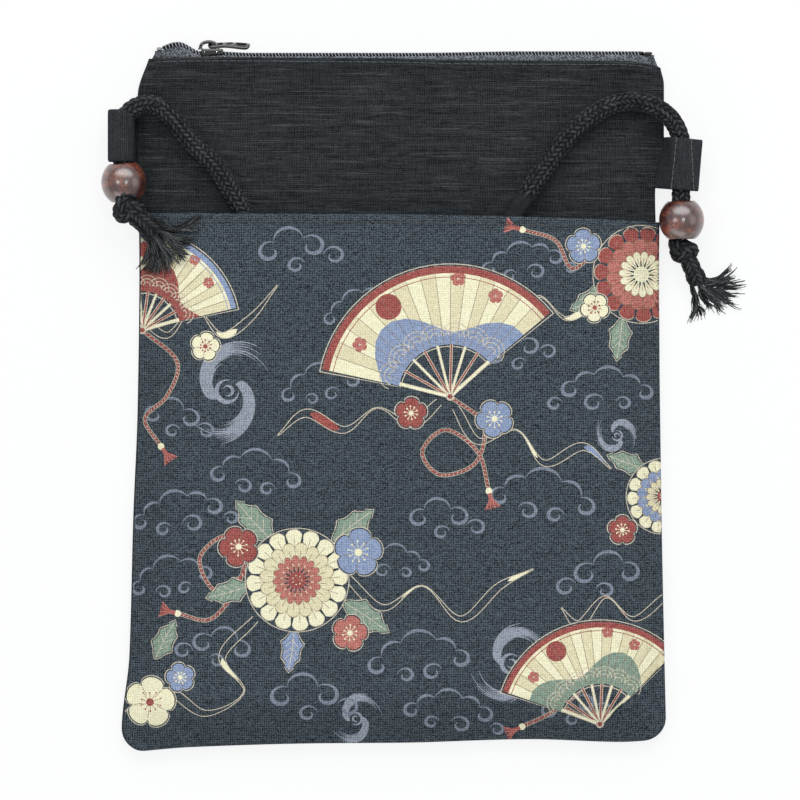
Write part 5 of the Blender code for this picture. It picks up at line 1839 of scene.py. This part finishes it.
def make_tab(side, low, long, circles_at, lean, tongue, mat):
    """A band sewn round the strap, ribbed along its length, whose ends may make a tongue into the seam."""
    shares = [0, 0.012, 0.04, 0.1] + [0.1 + 0.8 * k / 14 for k in range(1, 14)] + [0.9, 0.96, 0.988, 1]
    over, under, ends = [], [], []
    for share in shares:
        y = low + long * share
        outer, inner = band_outline(circles_at(y), TAB_CLOTH, TAB_POINTS)
        tuck = 0.3 * MM * (1 - quarter(min(share, 1 - share), 0.03))
        far = 0.0
        up, down = [], []
        for k, (a, b) in enumerate(zip(outer, inner)):
            far += math.dist(a, outer[k - 1]) if k else 0.0
            # Real rib relief, whose hollows the stored tone also paints darker as painted shade.
            rib = 0.5 + 0.5 * math.cos(2 * math.pi * far / TAB_RIB)
            for row, (x, z), other, deep, tone in (
                (up, a, b, tuck + (1 - rib) * 0.12 * MM, rib), (down, b, a, tuck, 0.5),
            ):
                move = Vector((other[0] - x, other[1] - z)).normalized() * deep
                row.append((x + move.x, y + lean(x, y), z + move.y, tone))
        over.append(up)
        under.append(down)
        # The tongue's tone of 0 paints it darkest: painted shadow between the tab and the bag.
        ends.append([(x, y + lean(x, y), z, 0.0) for x, z in tongue(y)])
    cells = [cell for row in over + under[::-1] for cell in row]
    faces = skin(2 * len(shares), TAB_POINTS, closed=True)
    if ends[0]:
        faces += skin(len(shares), len(ends[0]), len(cells))
        cells += [cell for row in ends for cell in row]
    name = f"tab_{side}_cloth"
    mesh = solid_mesh(name, [cell[:3] for cell in cells], faces, 50)
    store_tone_and_painted_shade(mesh, [cell[3] for cell in cells])
    add_piece(name, mesh, [mat], ["tab_" + side])


def make_tabs(line, ribbed, flat, thread):
    def left_circles(y):
        near = min(y - TAB_LOW_LEFT, TAB_LOW_LEFT + TAB_LONG_LEFT - y)
        round_end = 0.35 * MM * (1 - quarter(near, 1.2 * MM))
        return [(TAB_LEFT_X, TAB_LEFT_Z, TAB_REACH - round_end)]

    def left_tongue(y):
        edge = BODY.limits(y)[0] + 0.6 * MM
        return (TAB_LEFT_X, 5.4 * MM), (TAB_LEFT_X + 3.2 * MM, 8.2 * MM), (edge, 4.5 * MM), (edge, 2.6 * MM)

    def left_lean(x, y):
        share = ease((y - TAB_LOW_LEFT) / TAB_LONG_LEFT)
        return -share * 1.6 * MM * ease((x + HALF_WIDTH + 5.5 * MM) / (4.5 * MM))

    def right_circles(y):
        strap = min((p for p in line if p.x > HALF_WIDTH - 4 * MM), key=lambda p: abs(p.y - y))
        end = 1.02 * MM
        edge = BODY.limits(y)[1] - 0.4 * MM + end
        fold = blend(106.3, 107.8, (y - TAB_LOW_RIGHT) / TAB_LONG_RIGHT) * MM
        return [(strap.x, strap.z, TAB_REACH), (fold, strap.z - 0.4 * MM, 1.3 * MM), (edge, 3.55 * MM, end)]

    def right_lean(x, y):
        return (HALF_WIDTH + 6 * MM - x) * 0.08

    make_tab("left", TAB_LOW_LEFT, TAB_LONG_LEFT, left_circles, left_lean, left_tongue, ribbed)
    make_tab("right", TAB_LOW_RIGHT, TAB_LONG_RIGHT, right_circles, right_lean, lambda y: (), flat)

    soup = Soup()
    for top_pixel, bottom_pixel in TAB_SEAMS:
        (x1, y1), (x0, y0) = on_bag(*top_pixel), on_bag(*bottom_pixel)
        for k in range(TAB_STITCHES):
            points = []
            for share in (0, 0.12, 0.35, 0.65, 0.88, 1):
                t = (k + 0.08 + share * 0.84) / TAB_STITCHES
                x, y = blend(x0, x1, t), blend(y0, y1, t)
                outer, _ = band_outline(right_circles(y - right_lean(x, y)), TAB_CLOTH, 144)
                sink = -0.25 * MM if share in (0, 1) else 0.02 * MM
                points.append(Vector((x, y, top_at(outer, x) + sink)))
            soup.tube(points, 0.13 * MM, 6)
    mesh = plain_mesh("tab_right_stitches", soup.points, soup.faces)
    add_piece("tab_right_stitches", mesh, [thread])


# Floor and light

FLOOR_SIZE = 3.0
FLOOR_DROP = 0.05 * MM
FLOOR_PAPER = ((0.93, 0.935, 0.94, 1.0), (0.945, 0.945, 0.945, 1.0))
FLOOR_WHITE = (0.985, 0.99, 0.993, 1.0)
FLOOR_PLAIN = 0.85
WORLD_COLOUR = (0.975, 0.99, 1.0, 1.0)
WORLD_LIGHT = 0.46

# Each lamp: its place, what it aims at, its width and height, and its power
LAMPS = (
    ("key", (0.05, 1.35, 1.25), (0, 0, 0), (3.0, 1.3), 27),
    ("card_low", (-0.4, -1.5, 0.6), (-0.05, 0.05, 0), (2.4, 0.9), 7),
    ("card_right", (1.35, 0.1, 0.8), (0.1, 0.05, 0), (1.0, 1.0), 2.2),
    ("spark_left", (-0.74, 0.06, 1.2), (-0.1, 0.07, 0), (0.07, 0.07), 1.5),
    ("spark_right", (0.26, 0.07, 1.36), (0, 0.07, 0), (0.07, 0.07), 1.5),
)


def make_floor():
    """White paper, seen as lit paper mixed with plain white, so that its shadows stay soft and light."""
    corners = [(x * FLOOR_SIZE, y * FLOOR_SIZE, 0) for x, y in ((-1, -1), (1, -1), (1, 1), (-1, 1))]
    mesh = plain_mesh("floor", corners, [(0, 1, 2, 3)])
    floor = new_object("floor", mesh)
    floor.location.z = -FLOOR_DROP
    look = Look("white_paper", 0.1, Roughness=0.9)
    look.set("Base Color", look.mix(look.ranged(look.noise(60, 3.0, 2.0), 0.3, 0.7), *FLOOR_PAPER))
    seen = 0.0
    for rays in ("Is Camera Ray", "Is Glossy Ray", "Is Transmission Ray"):
        seen = look.math("MAXIMUM", seen, look.node("LightPath", {}, rays))
    mixed = look.node("MixShader", {
        0: look.math("MULTIPLY", seen, FLOOR_PLAIN),
        1: look.shader.outputs[0],
        2: look.node("Emission", {"Color": FLOOR_WHITE}),
    })
    look.set("Surface", mixed, look.tree.nodes["Material Output"])
    mesh.materials.append(look.mat)


def make_lights():
    world = bpy.data.worlds.new("studio")
    bpy.context.scene.world = world
    world.use_nodes = True
    background = world.node_tree.nodes["Background"]
    background.inputs["Color"].default_value = WORLD_COLOUR
    background.inputs["Strength"].default_value = WORLD_LIGHT
    for name, place, aim, size, power in LAMPS:
        data = bpy.data.lights.new(name, "AREA")
        data.shape = "ELLIPSE"
        data.size, data.size_y = size
        data.energy = power
        light = new_object(name, data)
        light.location = place
        light.rotation_euler = (Vector(aim) - Vector(place)).to_track_quat("-Z", "Y").to_euler()
    bpy.context.scene.view_settings.view_transform = "Standard"


def main():
    make_camera()
    cotton = braid_cotton("strap_yarn", (5, 6, 7), (72, 76, 79))
    strap, line, total = make_strap(cotton)
    beads = [make_bead(side) for side in ENDS]
    ends = make_ends(cotton, braid_cotton("tassel_yarn", (5, 6, 7), (96, 100, 102)))
    path = resample(line, [total * k / PATH_POINTS for k in range(PATH_POINTS + 1)])
    tuple(line[0])
    [tuple(point) for point in path]

    make_panels(slub_cloth("black_slub", (12, 15, 16), (57, 61, 64), (76, 79, 80)))
    make_pocket()
    # Painted sheen: the black thread's lighter tone stands in for its grey sheen.
    thread = ribbed_thread("black_thread_painted_sheen", (34, 36, 38), (110, 113, 115), 0.25, 15.0)
    make_stitches("front_topstitch", BODY, ZIP_STITCH, front_top, thread, -89 * MM, 93 * MM, 0.26 * MM)
    make_stitches("pocket_topstitch", POCKET, TOPSTITCH, pocket_top, thread, -92 * MM, 92 * MM, 0.14 * MM)

    # Painted sheen in part: the tape's lighter twill threads stand in for sheen on a dark tape.
    make_tapes(twill_tape("zip_tape_twill", (18, 20, 22), (128, 134, 142)))
    # The coil's stitches and whipping loops are real thread, painted pale so that they also stand in for
    # glints on the teeth.
    make_coils(coil_nylon(), ribbed_thread("zip_thread_painted_glints", (120, 126, 134), (196, 202, 210), 0.2, 7.0))
    enamel = black_enamel()
    make_slider(enamel)
    make_pull(enamel)
    dress_stops(bright_nickel(), enamel)

    ribbed = tab_cotton("tab_rib_weave", (12, 13, 14), (62, 67, 70), 0.5)
    flat = tab_cotton("tab_plain_weave", (17, 18, 21), (62, 65, 69), 0.15)
    make_tabs(line, ribbed, flat, ribbed_thread("pale_thread", (84, 86, 86), (140, 140, 136), 0.2, 5.0))
    make_floor()
    make_lights()


main()
